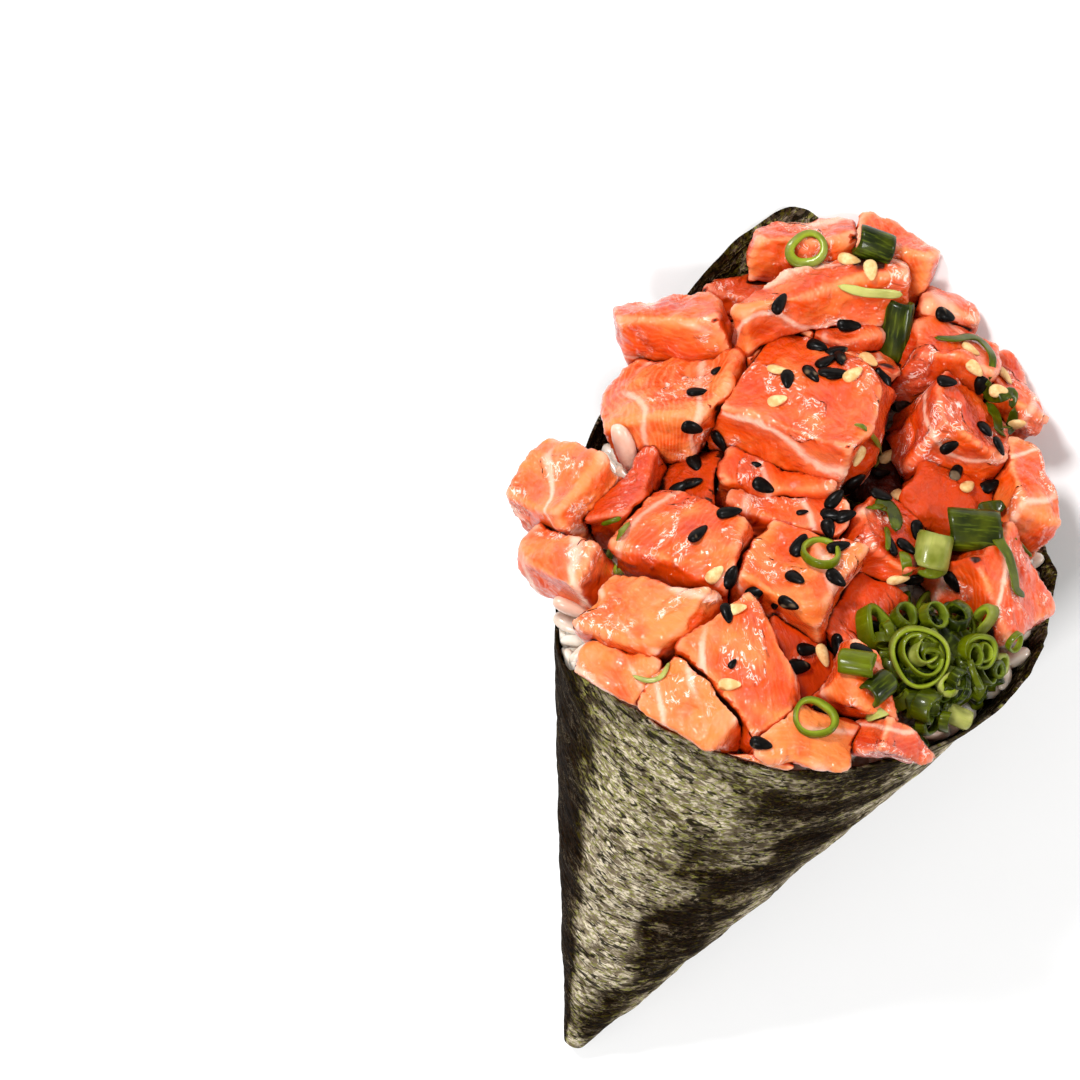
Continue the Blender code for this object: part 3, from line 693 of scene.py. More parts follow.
def sheen_of(h, across, places):
    """Painted sheen: a broad band left of the sheet's upper middle; painted shade down its left."""
    drifted = across + 4 * waves(places, 24, 42) + 1.5 * waves(places, 9, 43)
    broad = 1.05 * band(drifted, -16, 10, 26) * band(h, 56, 28, 30)
    upper = 0.6 * band(drifted, -8, 26, 26) * band(h, 84, 8, 14)
    right = 0.6 * band(drifted, 68, 8, 20) * band(h, 60, 38, 20)
    # Less painted sheen down a darker diagonal band
    dark = 0.4 * band(drifted, 42, 8, 26) * band(h, 60, 30, 26)
    # Painted shade down the left side of the roll
    side = 1.5 * band(across, -86, 34, 22)
    patches = 0.1 + 0.20 * waves(places * (0.45, 1, 1), 9, 41)
    return np.clip(np.maximum(broad, upper) + right - dark - side + patches, -1, 1)


def green_of(h, across):
    """Where olive specks are thick: under the lip at the front, and towards the tip."""
    front = band(across, -25, 35, 25) * band(h, 88, 16, 20)
    ends = 0.25 * band(h, 12, 14, 16) + 0.6 * band(h, 125, 10, 8)
    return np.clip(0.25 + 0.6 * front + ends, 0, 1)


def nori_finish():
    """Roasted seaweed: black with olive specks, a painted sheen where it is lit, glossier there."""
    f = Finish("nori_crinkled")
    sheet = f.vector("sheet")
    worn, green = f.numbers("worn", "green")
    along = f.stretched(sheet, 0.64, 1, 1)
    cells = f.noise(along, 0.95, 3, 0.6, 0.9)
    fine = f.noise(along, 2.1, 2, 0.6, 0.3)
    clouds = f.noise(along, 0.24, 3, 0.6, 0.4)
    specks = f.noise(f.stretched(sheet, 0.7, 1, 1), 1.5, 2, 0.6, 0.6)
    creases = f.noise(f.stretched(sheet, 0.4, 1, 1), 0.8, 3, 0.6, 1.4)
    # Painted sheen also lifts the black base towards grey-brown
    soft = f.ramp(worn, 0, 1)
    base = f.mix(f.ramp(fine, 0.35, 0.7), (8, 4, 1), (42, 26, 13))
    base = f.mix(f.times(soft, 0.85), base, (118, 104, 84))
    # Painted sheen: a soft grey sheen where the light catches it, broken by the sheet's cells
    lit = f.plus(clouds, 3, f.less(worn, 1.5))
    painted_sheen = f.plus(cells, 3, f.less(lit, 1.5))
    dim = f.mix(soft, (112, 96, 74), (138, 122, 98))
    bright = f.mix(soft, (150, 132, 104), (236, 222, 194))
    sheen = f.mix(f.ramp(cells, 0.42, 0.62), dim, bright)
    shown = f.mix(f.ramp(painted_sheen, -0.10, 1.25, 0, 0.97), base, sheen)
    # Olive specks, brighter in the painted sheen and fewer where no sheen is painted,
    # then pale threads as painted sheen on the crinkles' ridges, dark creases as painted shade
    raised = f.ramp(f.plus(green, 0.09, specks), 0.58, 0.63)
    olive = f.mix(f.ramp(painted_sheen, 0, 0.7), (64, 56, 8), (146, 146, 66))
    shown = f.mix(f.times(raised, f.ramp(worn, -0.8, 0.1, 0.1, 0.75)), shown, olive)
    threads = f.ramp(f.off(creases, 0.47), 0, 0.02, 0.55, 0)
    shown = f.mix(f.times(threads, f.ramp(clouds, 0.42, 0.6)), shown, (140, 126, 104))
    shown = f.mix(f.ramp(creases, 0.54, 0.60, 0, 0.9), shown, (14, 8, 4))
    f.set(Base_Color=shown, Roughness=f.ramp(painted_sheen, 0.2, 0.9, 0.56, 0.42), IOR=1.04)
    f.set(Normal=f.bump(fine, 0.5 * MM, 0.7, f.bump(cells, 1.2 * MM, 0.7)))
    return f.material


# Rice

GRAIN = (5.4, 2.5, 2.2)
GRAIN_TRIES = 5200
GRAIN_GAP = 2.3 * MM
# Loose grains: x, y, turn in degrees, length, width, how stained
LOOSE_GRAINS = (
    (-31.2, 5.4, -68, 9.4, 3.6, 0.5),
    (-28.4, -20, -29, 6.4, 3.2, 0.6),
    (-27.3, -23.3, -6, 5.6, 2.8, 0.1),
)


def grain_shape(dice, size):
    """(points, faces) of one cooked grain, a little bent."""
    size = [side * dice.uniform(0.9, 1.1) for side in size]
    return bean(size, 0.75, 0.12, dice.uniform(-0.5, 0.5))


def rice_finish():
    """Cooked rice: white, translucent, stained by the salmon here and there."""
    f = Finish("rice_cooked")
    place = f.place()
    [stain] = f.numbers("stain")
    cloud = f.noise(place, 420)
    white = f.mix(f.ramp(cloud, 0.3, 0.7), (206, 186, 166), (226, 214, 200))
    f.set(Base_Color=f.mix(stain, white, (216, 150, 122)))
    f.set(Normal=f.bump(f.noise(place, 1300), 0.12 * MM, 0.4))
    f.set(Roughness=f.ramp(cloud, 0.3, 0.7, 0.26, 0.4), Coat_Weight=0.5, Coat_Roughness=0.12)
    f.set(Subsurface_Weight=0.5, Subsurface_Scale=1.6 * MM, Subsurface_Radius=(1, 0.8, 0.6))
    return f.material


def turned_frame(normal, spin):
    """Axes with z along the normal and x turned by spin round it."""
    normal = normal.normalized()
    right = ACROSS - normal * ACROSS.dot(normal)
    right = Matrix.Rotation(spin, 3, normal) @ right.normalized()
    return np.array((right, normal.cross(right), normal)).T


def drawn_in(node, voxel, smoothing, relief, length, seed, sunk):
    """(mesh, points, sunk points) of a node's core, sunk unevenly under what lies on it."""
    core = piece_mesh(node, voxel, smoothing)
    points, outward = surface(core)
    depth = relief * waves(points / MM, length, seed) - sunk
    return core, points, points + outward * (depth * MM)[:, None]


def random_spot(dice, mesh, polygon):
    """A place on the triangle, or a little under or over it."""
    corners = [mesh.vertices[i].co for i in polygon.vertices]
    shares = sorted(dice.random() for _ in range(2))
    spot = corners[0] * shares[0] + corners[1] * (shares[1] - shares[0])
    return spot + corners[2] * (1 - shares[1]) + polygon.normal * dice.uniform(-0.5, 1.3) * MM


def make_rice():
    """The rice's core, and the grains on the part of it that the salmon leaves open."""
    finish = rice_finish()
    core, _, sunk = drawn_in("rice", 1.1 * MM, 4, 0.45, 3.4, 61, 0.7)
    set_coordinates(core, sunk)
    attributes(core, stain=0.25)
    core_object = make_object("rice_core", core, finish, "rice", "rice")
    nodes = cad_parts
    over = tree_of([nodes[n].data for n in nodes if n.startswith(("salmon", "onion_heap"))])
    dice = random.Random(5)
    grains = Heap("stain")
    placed = []
    mesh = nodes["rice"].data
    top = [p for p in mesh.polygons if p.normal.dot(AXIS) > 0.35]
    weights = [p.area for p in top]
    for _ in range(GRAIN_TRIES):
        polygon = dice.choices(top, weights)[0]
        spot = random_spot(dice, mesh, polygon)
        if any((spot - other).length < GRAIN_GAP for other in placed):
            continue
        nearest, normal, _, away = over.find_nearest(spot)
        if away > MM and (spot - nearest).dot(normal) < 0:
            continue
        placed.append(spot)
        shape, faces = grain_shape(dice, GRAIN)
        lean = polygon.normal + Vector([dice.gauss(0, 0.28) for _ in range(3)])
        axes = turned_frame(lean, dice.uniform(0, math.tau))
        where = inside_cone(np.array(spot) + shape @ axes.T * MM, 0.7)
        stain = max(0, dice.gauss(0.12, 0.2)) if away < 3 * MM else 0
        grains.add(where, faces, stain=min(0.8, stain))
    grains_object = make_object("rice_grains", grains.mesh("rice_grains"), finish, "rice")
    return core_object, grains_object, grains


def add_loose_rice(slope, grains_object, grains):
    """The bigger grains that lie loose where the salmon meets the nori on the left."""
    dice = random.Random(9)
    for place, level, turn, length, width, stain in slope.spots(LOOSE_GRAINS, LEVEL_REACH):
        shape, faces = grain_shape(dice, (length, width, 0.75 * width))
        where = np.array(place + level * 0.2 * width * MM) + shape @ lying(level, turn).T * MM
        grains.add(where, faces, stain=stain)
    finish = grains_object.active_material
    grains_object.data = grains.mesh("rice_grains")
    grains_object.data.materials.append(finish)
    grains_object.data.shade_smooth()


# What is scattered on the pieces

# How far round a place the slope is levelled under a small thing, in millimetres
LEVEL_REACH = 1.5


class Slope:
    """The finished pieces as one surface, met by lines that come from out of the heap."""

    def __init__(self, objects):
        self.tree = tree_of([obj.data for obj in objects])
        self.eye = from_heap(*VIEW_POINT) + OUT_OF_HEAP * CAMERA_AWAY * MM

    def spots(self, rows, reach=None):
        """For each row of x, y and more: the place met there, its level normal, and the rest.

        Without a reach, the normal is levelled over the row's third value, a radius.
        """
        for x, y, *rest in rows:
            aim = from_heap(x, y, VIEW_POINT[2])
            place, normal, _, _ = self.tree.ray_cast(self.eye, (aim - self.eye).normalized())
            if place is not None:
                yield place, self.level(place, normal, reach or rest[0]), *rest

    def level(self, place, normal, reach):
        """The mean normal round a place, so that a thing lies across small dents."""
        total = normal.copy()
        for turn in range(6):
            start = place + (in_heap(math.tau * turn / 6) * reach + OUT_OF_HEAP * 4) * MM
            found = self.tree.ray_cast(start, -OUT_OF_HEAP, 9 * MM)
            if found[0] is not None:
                total += found[1]
        return total.normalized()


def lying(normal, turn):
    """Axes with z along the normal, and x turned from the heap's x by degrees."""
    along = in_heap(math.radians(turn))
    x = (along - normal * along.dot(normal)).normalized()
    return np.array((x, normal.cross(x), normal)).T


# Sesame: x and y in the heap's face, and the turn of its length in degrees
BLACK_SESAME = (
    (-18.9, 35.1, 70), (-7.7, 36.6, 20), (-10.6, 31.5, 0), (-7.7, 31.9, 40), (-6.7, 31.1, -60),
    (-8.5, 29.8, 80), (-7.1, 28.6, 10), (-6.2, 28.8, 30), (-9.7, 27.1, -50), (-12.7, 24.9, -70),
    (-24.4, 17.3, 30), (-23.1, 12.3, 0), (-18.2, 12.3, -45), (0.6, 31.3, -40), (5, 44, 15),
    (9.6, 34.8, 30), (14.4, 36.9, -70), (17.9, 30.5, -65), (20.9, 29.1, -70), (14.1, 26.3, 55),
    (16.7, 22.9, 80), (22.2, 23, 60), (7.6, 14.8, 20), (6.3, 17.8, 60), (3.1, 15.3, 40),
    (2.6, 13.8, -20), (1.6, 11.3, 75), (2.1, 8.8, 10), (2.6, 6.8, -50), (4.2, 9.6, 35),
    (15.1, 11.8, -60), (14.6, 9.1, 0), (12.4, 8.3, 90), (17.6, 5.5, -20), (23.4, 7.6, -45),
    (-9.3, 8.6, 0), (-20.2, 7.3, -45), (-19.2, 4.3, 20), (-20.7, 2.6, 60), (-12.2, 2.6, 35),
    (-15.1, -2.3, 90), (-8, -6.2, 90), (-6.1, -11.6, -60), (-3.5, -6.8, 45), (-0.3, 2.6, 90),
    (1.2, -2.3, -25), (6.7, 0.3, -10), (5.1, 4.8, 50), (2, -6, 10), (11.5, -8.7, -65),
    (15, -8.1, 30), (7.2, -11.5, 35), (7.2, -14.4, 30), (7, -27.4, 10), (13.6, -19.2, -30),
    (15.4, -3.9, 20),
)
SMALL_BLACK = (
    (-11.6, 11.1, 20), (-23.2, 21.7, 70), (-2.1, 7.4, 30), (-2.1, -18.2, 80), (0.1, -7.2, 60),
)
WHITE_SESAME = (
    (-2.6, 32.8, -35), (-3.9, 29.8, 65), (-14.5, 25.6, 10), (-12.7, 21.3, 40), (-11.8, 45.6, 10),
    (-8.2, 45.5, -60), (1.8, 19, -80), (6.3, 20.6, 60), (10.1, 15.8, -50), (12.5, 38.7, -20),
    (17.2, 39.3, -50), (17.3, 37, 20), (22.1, 33.9, 60), (10.8, 40.8, 0), (19.2, 21.5, 80),
    (-19.8, 9.8, 90), (-10.4, -6.8, 70), (-5.2, -10.5, 40), (-1.1, -21.3, 20), (9.9, -11.3, -45),
    (15.4, 4.5, 20), (19.4, 1.8, -40),
)
SEED = (3.7, 2.15, 1.15)
SEEDS_ROUND_THE_SIDES = 46


def seed_finish(name, dark, light, patch, roughness):
    """A seed's skin: finely pitted and mottled, with a few worn patches."""
    f = Finish(name)
    place = f.place()
    mottle = f.noise(place, 900, 3, 0.6)
    skin = f.mix(f.ramp(mottle, 0.35, 0.7), dark, light)
    worn = f.ramp(f.noise(place, 330), 0.64, 0.72)
    f.set(Base_Color=f.mix(worn, skin, patch))
    f.set(Normal=f.bump(f.noise(place, 2600), 0.10 * MM, 0.5))
    f.set(Roughness=f.ramp(mottle, 0.3, 0.7, roughness, roughness + 0.15))
    f.set(Coat_Weight=0.12, Coat_Roughness=0.12, Coat_IOR=1.33, Specular_IOR_Level=0.06)
    return f.material


def sow(name, spots, finish, dice):
    """Flat, pointed seeds at the spots, each pressed a little into the slope."""
    seeds = Heap()
    for place, normal, turn, scale in spots:
        size = [side * scale * dice.uniform(0.88, 1.1) for side in SEED]
        shape, faces = bean(size, 0.85, 0.34)
        tilted = (normal + 0.12 * Vector([dice.gauss(0, 1) for _ in range(3)])).normalized()
        middle = np.array(place + normal * 0.34 * SEED[2] * scale * MM)
        seeds.add(middle + shape @ lying(tilted, turn).T * MM, faces)
    make_object(name, seeds.mesh(name), finish, "rice")


def seed_spots(listed, scale, slope):
    return [(*spot, scale) for spot in slope.spots(listed, LEVEL_REACH)]


def side_spots(slope, dice, count):
    """Places round the heap, met by lines from outside towards its middle."""
    spots = []
    middle = from_heap(0, 5, 45)
    while len(spots) < count:
        away = in_heap(dice.uniform(0, math.tau)) + dice.uniform(0.15, 1.1) * OUT_OF_HEAP
        start = middle + away.normalized() * 90 * MM + UP_HEAP * dice.uniform(-22, 22) * MM
        place, normal, _, _ = slope.tree.ray_cast(start, -away.normalized())
        if place is not None and place.z > 14 * MM:
            level = slope.level(place, normal, LEVEL_REACH)
            spots.append((place, level, dice.uniform(0, 180), 1))
    return spots


def out_of_sight(normal):
    """Whether what lies there can't show at the outline from the photo's side."""
    return normal.dot(OUT_OF_HEAP) < -0.35 and abs(normal.x) < 0.6


def make_sesame(slope, heap):
    dice = random.Random(11)
    black = seed_finish("sesame_black", (3, 2, 2), (16, 12, 9), (100, 82, 62), 0.32)
    white = seed_finish("sesame_white", (206, 160, 100), (228, 196, 142), (180, 116, 60), 0.4)
    hidden = [s for s in side_spots(heap, dice, SEEDS_ROUND_THE_SIDES) if out_of_sight(s[1])]
    spots = seed_spots(BLACK_SESAME, 1, slope) + seed_spots(SMALL_BLACK, 0.5, slope)
    sow("sesame_black", spots + hidden[::2], black, dice)
    sow("sesame_white", seed_spots(WHITE_SESAME, 0.95, slope) + hidden[1::2], white, dice)


# Spring onion. Rings: x, y, radius, wall, height in millimetres, how flat the ring is pressed,
# its lean off the slope and the turn of that lean in degrees, and how pale it is (0 to 1)
ONION_RINGS = (
    (-18.3, 44.5, 3.1, 1.25, 1.3, 0.95, 5, 0, 0.62),
    (3.3, 2.6, 3.1, 0.7, 1.3, 1, 12, 90, 0.5),
    (12.7, -20.6, 3.2, 0.85, 1.4, 1, 8, 90, 0.5),
    (15, -4.6, 3.3, 0.95, 3, 0.9, 20, 60, 0.42),
    (23.5, -5, 4.6, 0.7, 2.6, 0.95, 10, 20, 0.62),
    (23.5, -5, 3.4, 0.6, 2.9, 0.9, 10, 20, 0.5),
    (23.3, -4.8, 2.3, 0.5, 3.1, 0.85, 14, 20, 0.7),
    (31, -1, 2.9, 0.7, 2.2, 0.95, 18, -30, 0.45),
    (31.2, -1.2, 1.7, 0.45, 2.4, 0.9, 18, -30, 0.6),
    (34.6, -1.2, 1.7, 0.9, 1.8, 1, 30, 0, 0.75),
    (35.4, 3.2, 1.7, 0.4, 1, 0.95, 30, 0, 0.45),
    (30.4, 4.5, 2.6, 1.1, 2, 0.6, 25, 150, 0.62),
    (22.5, 2.6, 2.9, 0.8, 2.2, 0.85, 55, 90, 0.35),
    (29, -7, 1.9, 0.9, 2, 0.9, 15, 40, 0.78),
    (27, -11, 2.6, 1, 3, 0.75, 60, 10, 0.22),
    (20, -9.5, 2.4, 0.8, 2.6, 0.85, 60, 100, 0.2),
    (33, -8.5, 2.2, 0.7, 2, 0.8, 40, 30, 0.5),
    (18.8, -1, 2.5, 0.6, 2.4, 0.8, 70, 40, 0.3),
)
# Tubes and chunks: x, y, outer radius, wall, length, turn of the length in degrees, how pale
ONION_TUBES = (
    (-9.2, 48.9, 2.4, 0.8, 5.6, 8, 0.10),
    (-0.9, 38.8, 2.1, 0.7, 9, 108, 0.12),
    (23, 15.4, 3.1, 0.8, 8, 22, 0.16),
    (18.6, 9.6, 2.9, 1, 5.6, 100, 0.70),
    (15.3, -10.4, 1.9, 0.8, 5.2, 14, 0.45),
    (26.5, -11.8, 2.2, 0.9, 5, 30, 0.18),
    (31.5, -10.6, 1.5, 0.7, 6, -8, 0.82),
    (19.5, -12.5, 2, 0.8, 4.6, 60, 0.12),
)
# Shreds: width, how pale, then the places along it
ONION_SHREDS = (
    (1.5, 0.95, ((-12, 41.2), (-8, 42.2), (-5, 43.4), (-2.3, 44.4))),
    (1.5, 0.25, ((5, 40), (8, 41), (10, 42.3), (12, 42.3), (14.3, 40.8), (15.4, 38))),
    (1.7, 0.20, ((15, 38), (16.2, 36), (18, 36.4), (19.3, 37.4), (20.3, 35.6))),
    (2, 0.22, ((20.6, 36), (21.3, 32.8), (20, 31), (18.4, 33), (16.2, 35))),
    (0.9, 0.62, ((-0.5, 22.8), (1, 23), (3.3, 22), (4.8, 20.5), (5.1, 18))),
    (1.1, 0.30, ((0.5, 13), (4, 12.2), (7, 12.2), (9, 13.5))),
    (2.6, 0.22, ((7.5, 12.6), (9, 13.4), (10.6, 12.6), (12, 10.4))),
    (1, 0.40, ((10.3, 10.6), (11.3, 9), (12, 7.4))),
    (1.9, 0.50, ((14.3, 8.2), (15.4, 6.9), (16.4, 5.5))),
    (2, 0.18, ((22, 18.8), (24, 20.2), (26.2, 21.4))),
    (1.9, 0.30, ((26.5, 19), (27, 16), (29, 14.4), (31, 12), (32.2, 10.2), (34, 9.8))),
    (0.7, 0.45, ((29, 17.3), (31, 16.9), (32.6, 16.2))),
    (1.8, 0.80, ((20, -17.3), (22, -15.4), (24, -13.2))),
    (1, 0.45, ((32.5, -6), (34.5, -6.5), (36, -7))),
    (1.2, 0.62, ((-25.5, -5), (-26, -8), (-26.2, -11), (-25, -12.5), (-23, -12.4))),
    (0.8, 0.40, ((-29.5, -7), (-28.2, -5.8), (-27, -5))),
    (0.8, 0.80, ((-15.3, -26.3), (-12.6, -26), (-11.2, -24.6), (-11, -22.2))),
)
RING_AROUND = 36
# A ring's section, as shares of its wall and height
RING_SECTION = (
    (0.5, -0.40), (0.5, 0.40), (0.3, 0.5), (-0.3, 0.5),
    (-0.5, 0.40), (-0.5, -0.40), (-0.3, -0.5), (0.3, -0.5),
)
SHRED_SIDES = 8
SHRED_THICK = 0.55
SHRED_STEPS = 5
HEAP_RINGS = 70
SIDE_RINGS = 26


def ring_shape(dice, radius, wall, height, pressed):
    """(points, faces, skin) of a cut ring or tube round z; skin is 1 outside."""
    start = [dice.uniform(0, math.tau) for _ in range(4)]
    points, skin = [], []
    for k in range(RING_AROUND):
        a = math.tau * k / RING_AROUND
        uneven = 1 + 0.06 * math.sin(2 * a + start[0]) + 0.04 * math.sin(3 * a + start[1])
        thick = wall * (1 + 0.22 * math.sin(a + start[2]))
        drift = 0.10 * min(radius, height) * math.sin(2 * a + start[3])
        for out, up in RING_SECTION:
            reach = (radius * uneven - wall / 2 + out * thick) * (1 + 0.05 * (2 * up) ** 2)
            points.append((reach * math.cos(a), reach * pressed * math.sin(a), up * height + drift))
            skin.append(out + 0.5)
    return np.array(points), ring_faces(RING_AROUND, len(RING_SECTION), True), np.array(skin)


def leaned(normal, lean, turn):
    """The normal, tipped by lean degrees towards a turn in the slope."""
    side = Vector(lying(normal, turn)[:, 0])
    lean = math.radians(lean)
    return (math.cos(lean) * normal + math.sin(lean) * side).normalized()


def smooth_path(spots):
    """A smooth curve through the spots, as rows of points."""
    spots = [np.array(spot) for spot in spots]
    spots = [2 * spots[0] - spots[1], *spots, 2 * spots[-1] - spots[-2]]
    path = []
    for a, b, c, d in zip(spots, spots[1:], spots[2:], spots[3:]):
        for step in range(SHRED_STEPS):
            t = step / SHRED_STEPS
            bow = (2 * a - 5 * b + 4 * c - d) * t**2 + (3 * b - a - 3 * c + d) * t**3
            path.append(0.5 * (2 * b + (c - a) * t + bow))
    return np.array(path + [spots[-2]])


def shred_shape(path, outward, width):
    """(points, faces, skin) of a thin strip along the path, narrow at its ends."""
    along = np.gradient(path, axis=0)
    along /= np.linalg.norm(along, axis=1)[:, None]
    across = np.cross(outward, along)
    across /= np.linalg.norm(across, axis=1)[:, None]
    rings, skin = [], [0.5]
    last = len(path) - 1
    for k in range(1, last):
        share = k / last
        half = width / 2 * MM * min(1, 0.45 + 3 * min(share, 1 - share))
        ring = []
        for side in range(SHRED_SIDES):
            a = math.tau * side / SHRED_SIDES
            rise = math.sin(a) * SHRED_THICK / 2 * MM + 0.3 * half * math.cos(a) ** 2
            ring.append(path[k] + across[k] * half * math.cos(a) + outward[k] * rise)
            skin.append(0.5 + 0.5 * math.sin(a))
        rings.append(ring)
    return *spindle(path[0], rings, path[-1]), np.array(skin + [0.5])


def onion_finish():
    """Spring onion: green skin with fine veins, paler and yellower inside."""
    f = Finish("spring_onion_cut")
    local = f.vector("local")
    tone, skin = f.numbers("tone", "skin")
    veins = f.noise(f.stretched(local, 1, 1, 0.16), 1.5, 3, 0.6)
    depth = f.math("ADD", tone, f.plus(f.noise(local, 0.35), 0.5, -0.25))
    green = f.mix(f.ramp(depth, 0, 0.55), (20, 28, 1), (86, 94, 0))
    green = f.mix(f.ramp(depth, 0.5, 1.05), green, (186, 184, 104))
    inside = f.mix(f.ramp(depth, 0, 0.8), (44, 58, 3), (140, 154, 36))
    shown = f.mix(f.ramp(skin, 0.15, 0.75), inside, green)
    shown = f.mix(f.times(f.ramp(veins, 0.5, 0.7), 0.35), shown, (110, 126, 18))
    f.set(Base_Color=shown, Normal=f.bump(veins, 0.16 * MM, 0.5))
    f.set(Roughness=f.ramp(veins, 0.3, 0.7, 0.28, 0.42), Specular_IOR_Level=0.1)
    f.set(Coat_Weight=0.35, Coat_Roughness=0.08, Coat_IOR=1.33)
    f.set(Subsurface_Weight=0.1, Subsurface_Scale=0.8 * MM, Subsurface_Radius=(0.5, 1, 0.2))
    return f.material


def lay_ring(heap, dice, place, normal, ring, tone):
    """Adds one ring, sunk a little into what it lies on."""
    radius, wall, height, pressed, lean, turn = ring
    points, faces, skin = ring_shape(dice, radius, wall, height, pressed)
    lift = 0.30 * height + 0.55 * radius * math.sin(math.radians(lean))
    axes = lying(leaned(normal, lean, turn), dice.uniform(0, 180))
    where = np.array(place + normal * lift * MM) + points @ axes.T * MM
    heap.add(where, faces, tone=tone, skin=skin, local=points)


def lay_tube(heap, dice, place, normal, tube, tone):
    """Adds one tube with its length along the slope."""
    radius, wall, length, turn = tube
    points, faces, skin = ring_shape(dice, radius, wall, length, 0.92)
    axes = lying(normal, turn)[:, (1, 2, 0)]
    where = np.array(place + normal * 0.45 * radius * MM) + points @ axes.T * MM
    heap.add(where, faces, tone=tone, skin=skin, local=points)


def lay_shred(heap, slope, width, tone, listed):
    """Adds one shred that follows the slope through the places listed."""
    places, outward = zip(*slope.spots(listed, LEVEL_REACH))
    path = smooth_path([place + level * 0.45 * MM for place, level in zip(places, outward)])
    normals = smooth_path(outward)
    normals /= np.linalg.norm(normals, axis=1)[:, None]
    points, faces, skin = shred_shape(path, normals, width)
    lengthwise = np.linspace(0, 3 * len(places), len(points))
    local = np.stack((skin * 3, np.full(len(points), 2 * width), lengthwise), 1)
    heap.add(points, faces, tone=tone, skin=skin, local=local)


def make_onion_core(finish):
    """The heap's core, drawn in under the loose rings."""
    core, points, sunk = drawn_in("onion_heap", 0.7 * MM, 3, 0.7, 4, 81, 1.6)
    set_coordinates(core, inside_cone(sunk, 1))
    in_mm = points / MM
    tone = np.clip(0.12 + 0.14 * waves(in_mm, 6, 82), 0, 1)
    attributes(core, tone=tone, skin=0.9, local=in_mm)
    return make_object("onion_core", core, finish, "spring_onion", "onion_heap")


def make_onions(finish, slope, heap, core):
    """Rings, tubes and shreds that show, and loose rings over the heap and down the sides."""
    dice = random.Random(21)
    rings = Heap("tone", "skin", "local")
    for place, level, *ring, tone in slope.spots(ONION_RINGS):
        lay_ring(rings, dice, place, level, ring, tone)
    for place, level, *tube, tone in slope.spots(ONION_TUBES):
        lay_tube(rings, dice, place, level, tube, tone)
    for _ in range(HEAP_RINGS):
        polygon = dice.choice(core.data.polygons)
        if polygon.normal.dot(OUT_OF_HEAP) < -0.1:
            continue
        spread = ((1.2, 2.6), (0.4, 0.8), (0.8, 2.2), (0.6, 1), (0, 80), (0, 360))
        ring = [dice.uniform(*ends) for ends in spread]
        place = polygon.center + polygon.normal * 0.2 * MM
        lay_ring(rings, dice, place, polygon.normal, ring, dice.uniform(0, 0.42))
    for place, normal, _, _ in side_spots(heap, dice, SIDE_RINGS):
        if out_of_sight(normal):
            ring = (dice.uniform(1.8, 3), 0.6, 1.2, dice.uniform(0.8, 1), 8, 0)
            lay_ring(rings, dice, place, normal, ring, dice.uniform(0.2, 0.8))
    replaced = ["onion_back", "onion_light", "onion_side", "onion_top"]
    make_object("onion_rings", rings.mesh("onion_rings"), finish, "spring_onion", *replaced)
    shreds = Heap("tone", "skin", "local")
    for width, tone, listed in ONION_SHREDS:
        lay_shred(shreds, slope, width, tone, listed)
    make_object("onion_shreds", shreds.mesh("onion_shreds"), finish, "spring_onion")


def make_garnish(nori, rice, flesh):
    finish = onion_finish()
    core = make_onion_core(finish)
    rice_core, grains_object, grains = rice
    slope = Slope([nori, core, rice_core, grains_object] + flesh)
    heap = Slope(flesh)
    make_onions(finish, slope, heap, core)
    make_sesame(slope, heap)
    add_loose_rice(slope, grains_object, grains)


# The stage

# Lights: name, how far right, up and out of the heap in metres, size, watts
LIGHTS = (
    ("key", -0.45, 0.65, 1.1, 0.24, 17),
    ("front", -0.4, -0.55, 1.2, 0.30, 9),
    ("side", 1.2, -0.1, 0.9, 0.24, 8),
)
WORLD_STRENGTH = 0.40


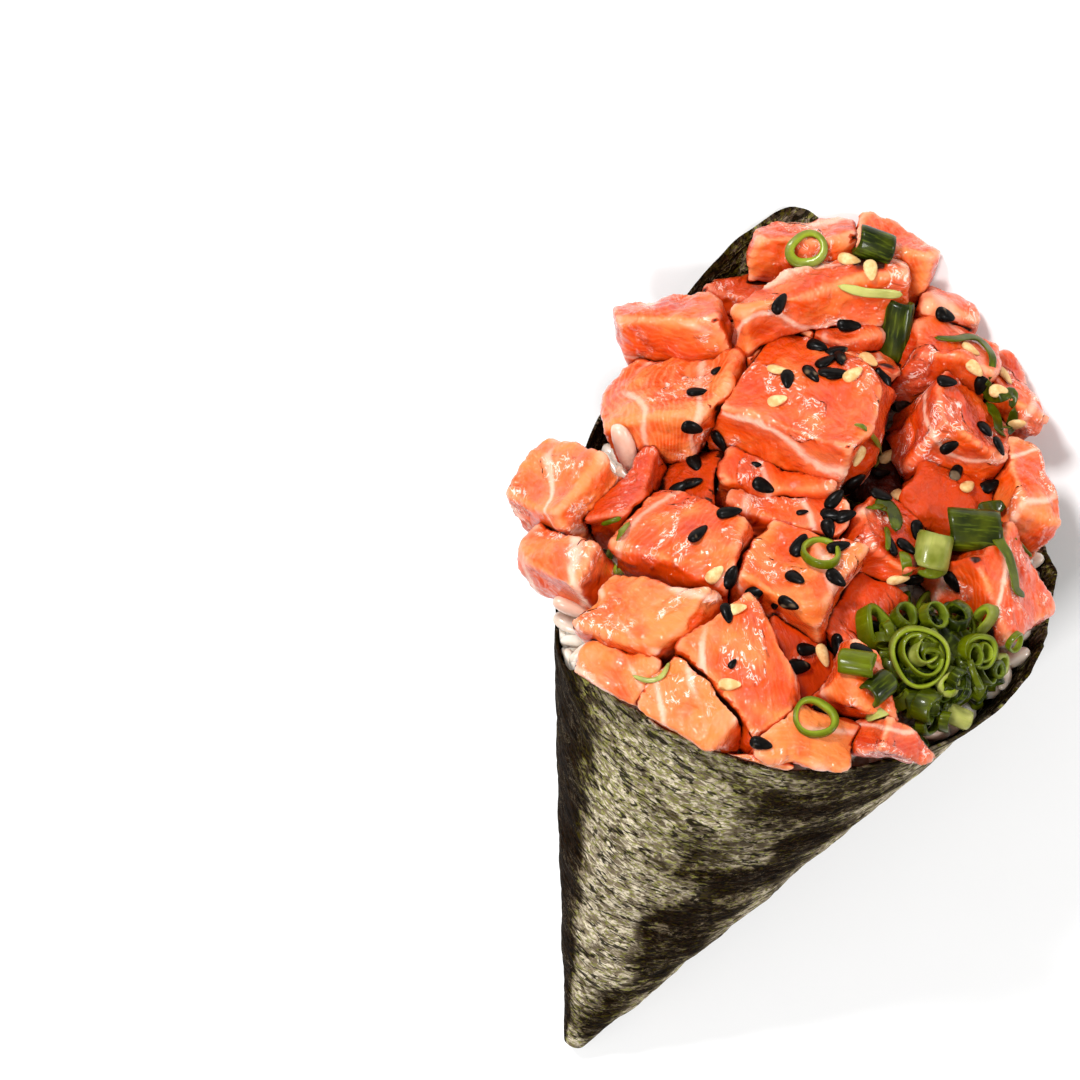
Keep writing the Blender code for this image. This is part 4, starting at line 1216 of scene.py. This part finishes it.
def make_camera():
    """The camera looks into the heap, with the roll off the frame's middle."""
    view_point = from_heap(*VIEW_POINT)
    eye = view_point + OUT_OF_HEAP * CAMERA_AWAY * MM
    up = in_heap(CAMERA_TURN + math.pi / 2)
    axes = Matrix((in_heap(CAMERA_TURN), up, OUT_OF_HEAP)).transposed()
    seen = Vector((ROLL_RIGHT, -ROLL_DOWN, -1)).normalized()
    wanted = (view_point - eye).normalized()
    turned = (axes @ seen).rotation_difference(wanted).to_matrix() @ axes
    data = bpy.data.cameras.new("camera")
    data.sensor_width = SENSOR
    data.lens = LENS
    data.clip_start = 0.01
    camera = bpy.data.objects.new("camera", data)
    camera.matrix_world = Matrix.Translation(eye) @ turned.to_4x4()
    bpy.context.scene.collection.objects.link(camera)
    bpy.context.scene.camera = camera


def make_lights():
    """Three soft lights aimed at the heap, and a white world."""
    centre = from_heap(0, 0, 55)
    to_right, to_up = in_heap(CAMERA_TURN), in_heap(CAMERA_TURN + math.pi / 2)
    for name, right, up, out, size, watts in LIGHTS:
        data = bpy.data.lights.new(name, "AREA")
        data.energy = watts
        data.size = size
        light = bpy.data.objects.new(name, data)
        bpy.context.scene.collection.objects.link(light)
        away = up * to_up + right * to_right + out * OUT_OF_HEAP
        light.location = centre + away
        light.rotation_euler = away.to_track_quat("Z", "Y").to_euler()
    world = bpy.data.worlds.new("studio")
    world.use_nodes = True
    background = world.node_tree.nodes["Background"]
    background.inputs["Color"].default_value = (1, 1, 1, 1)
    background.inputs["Strength"].default_value = WORLD_STRENGTH
    bpy.context.scene.world = world


def make_floor():
    bm = bmesh.new()
    bmesh.ops.create_grid(bm, x_segments=4, y_segments=4, size=1.6)
    mesh = bpy.data.meshes.new("floor")
    bm.to_mesh(mesh)
    bm.free()
    floor = bpy.data.objects.new("floor", mesh)
    bpy.context.scene.collection.objects.link(floor)
    floor.location.z = -0.05 * MM
    f = Finish("floor")
    cloud = f.noise(f.place(), 60, 3)
    f.set(Base_Color=f.mix(cloud, (250.5, 250.5, 250.5), (252.8, 252.8, 252.8)))
    f.set(Roughness=0.7)
    mesh.materials.append(f.material)
    floor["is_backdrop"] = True


def main():
    bpy.context.scene.view_settings.view_transform = "Standard"
    make_camera()
    make_lights()
    make_floor()
    nori = make_nori()
    rice = make_rice()
    flesh = make_flesh()
    make_garnish(nori, rice, flesh)
    boxes = [[list(corner) for corner in box] for box in (CAD_BOX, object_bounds())]


main()
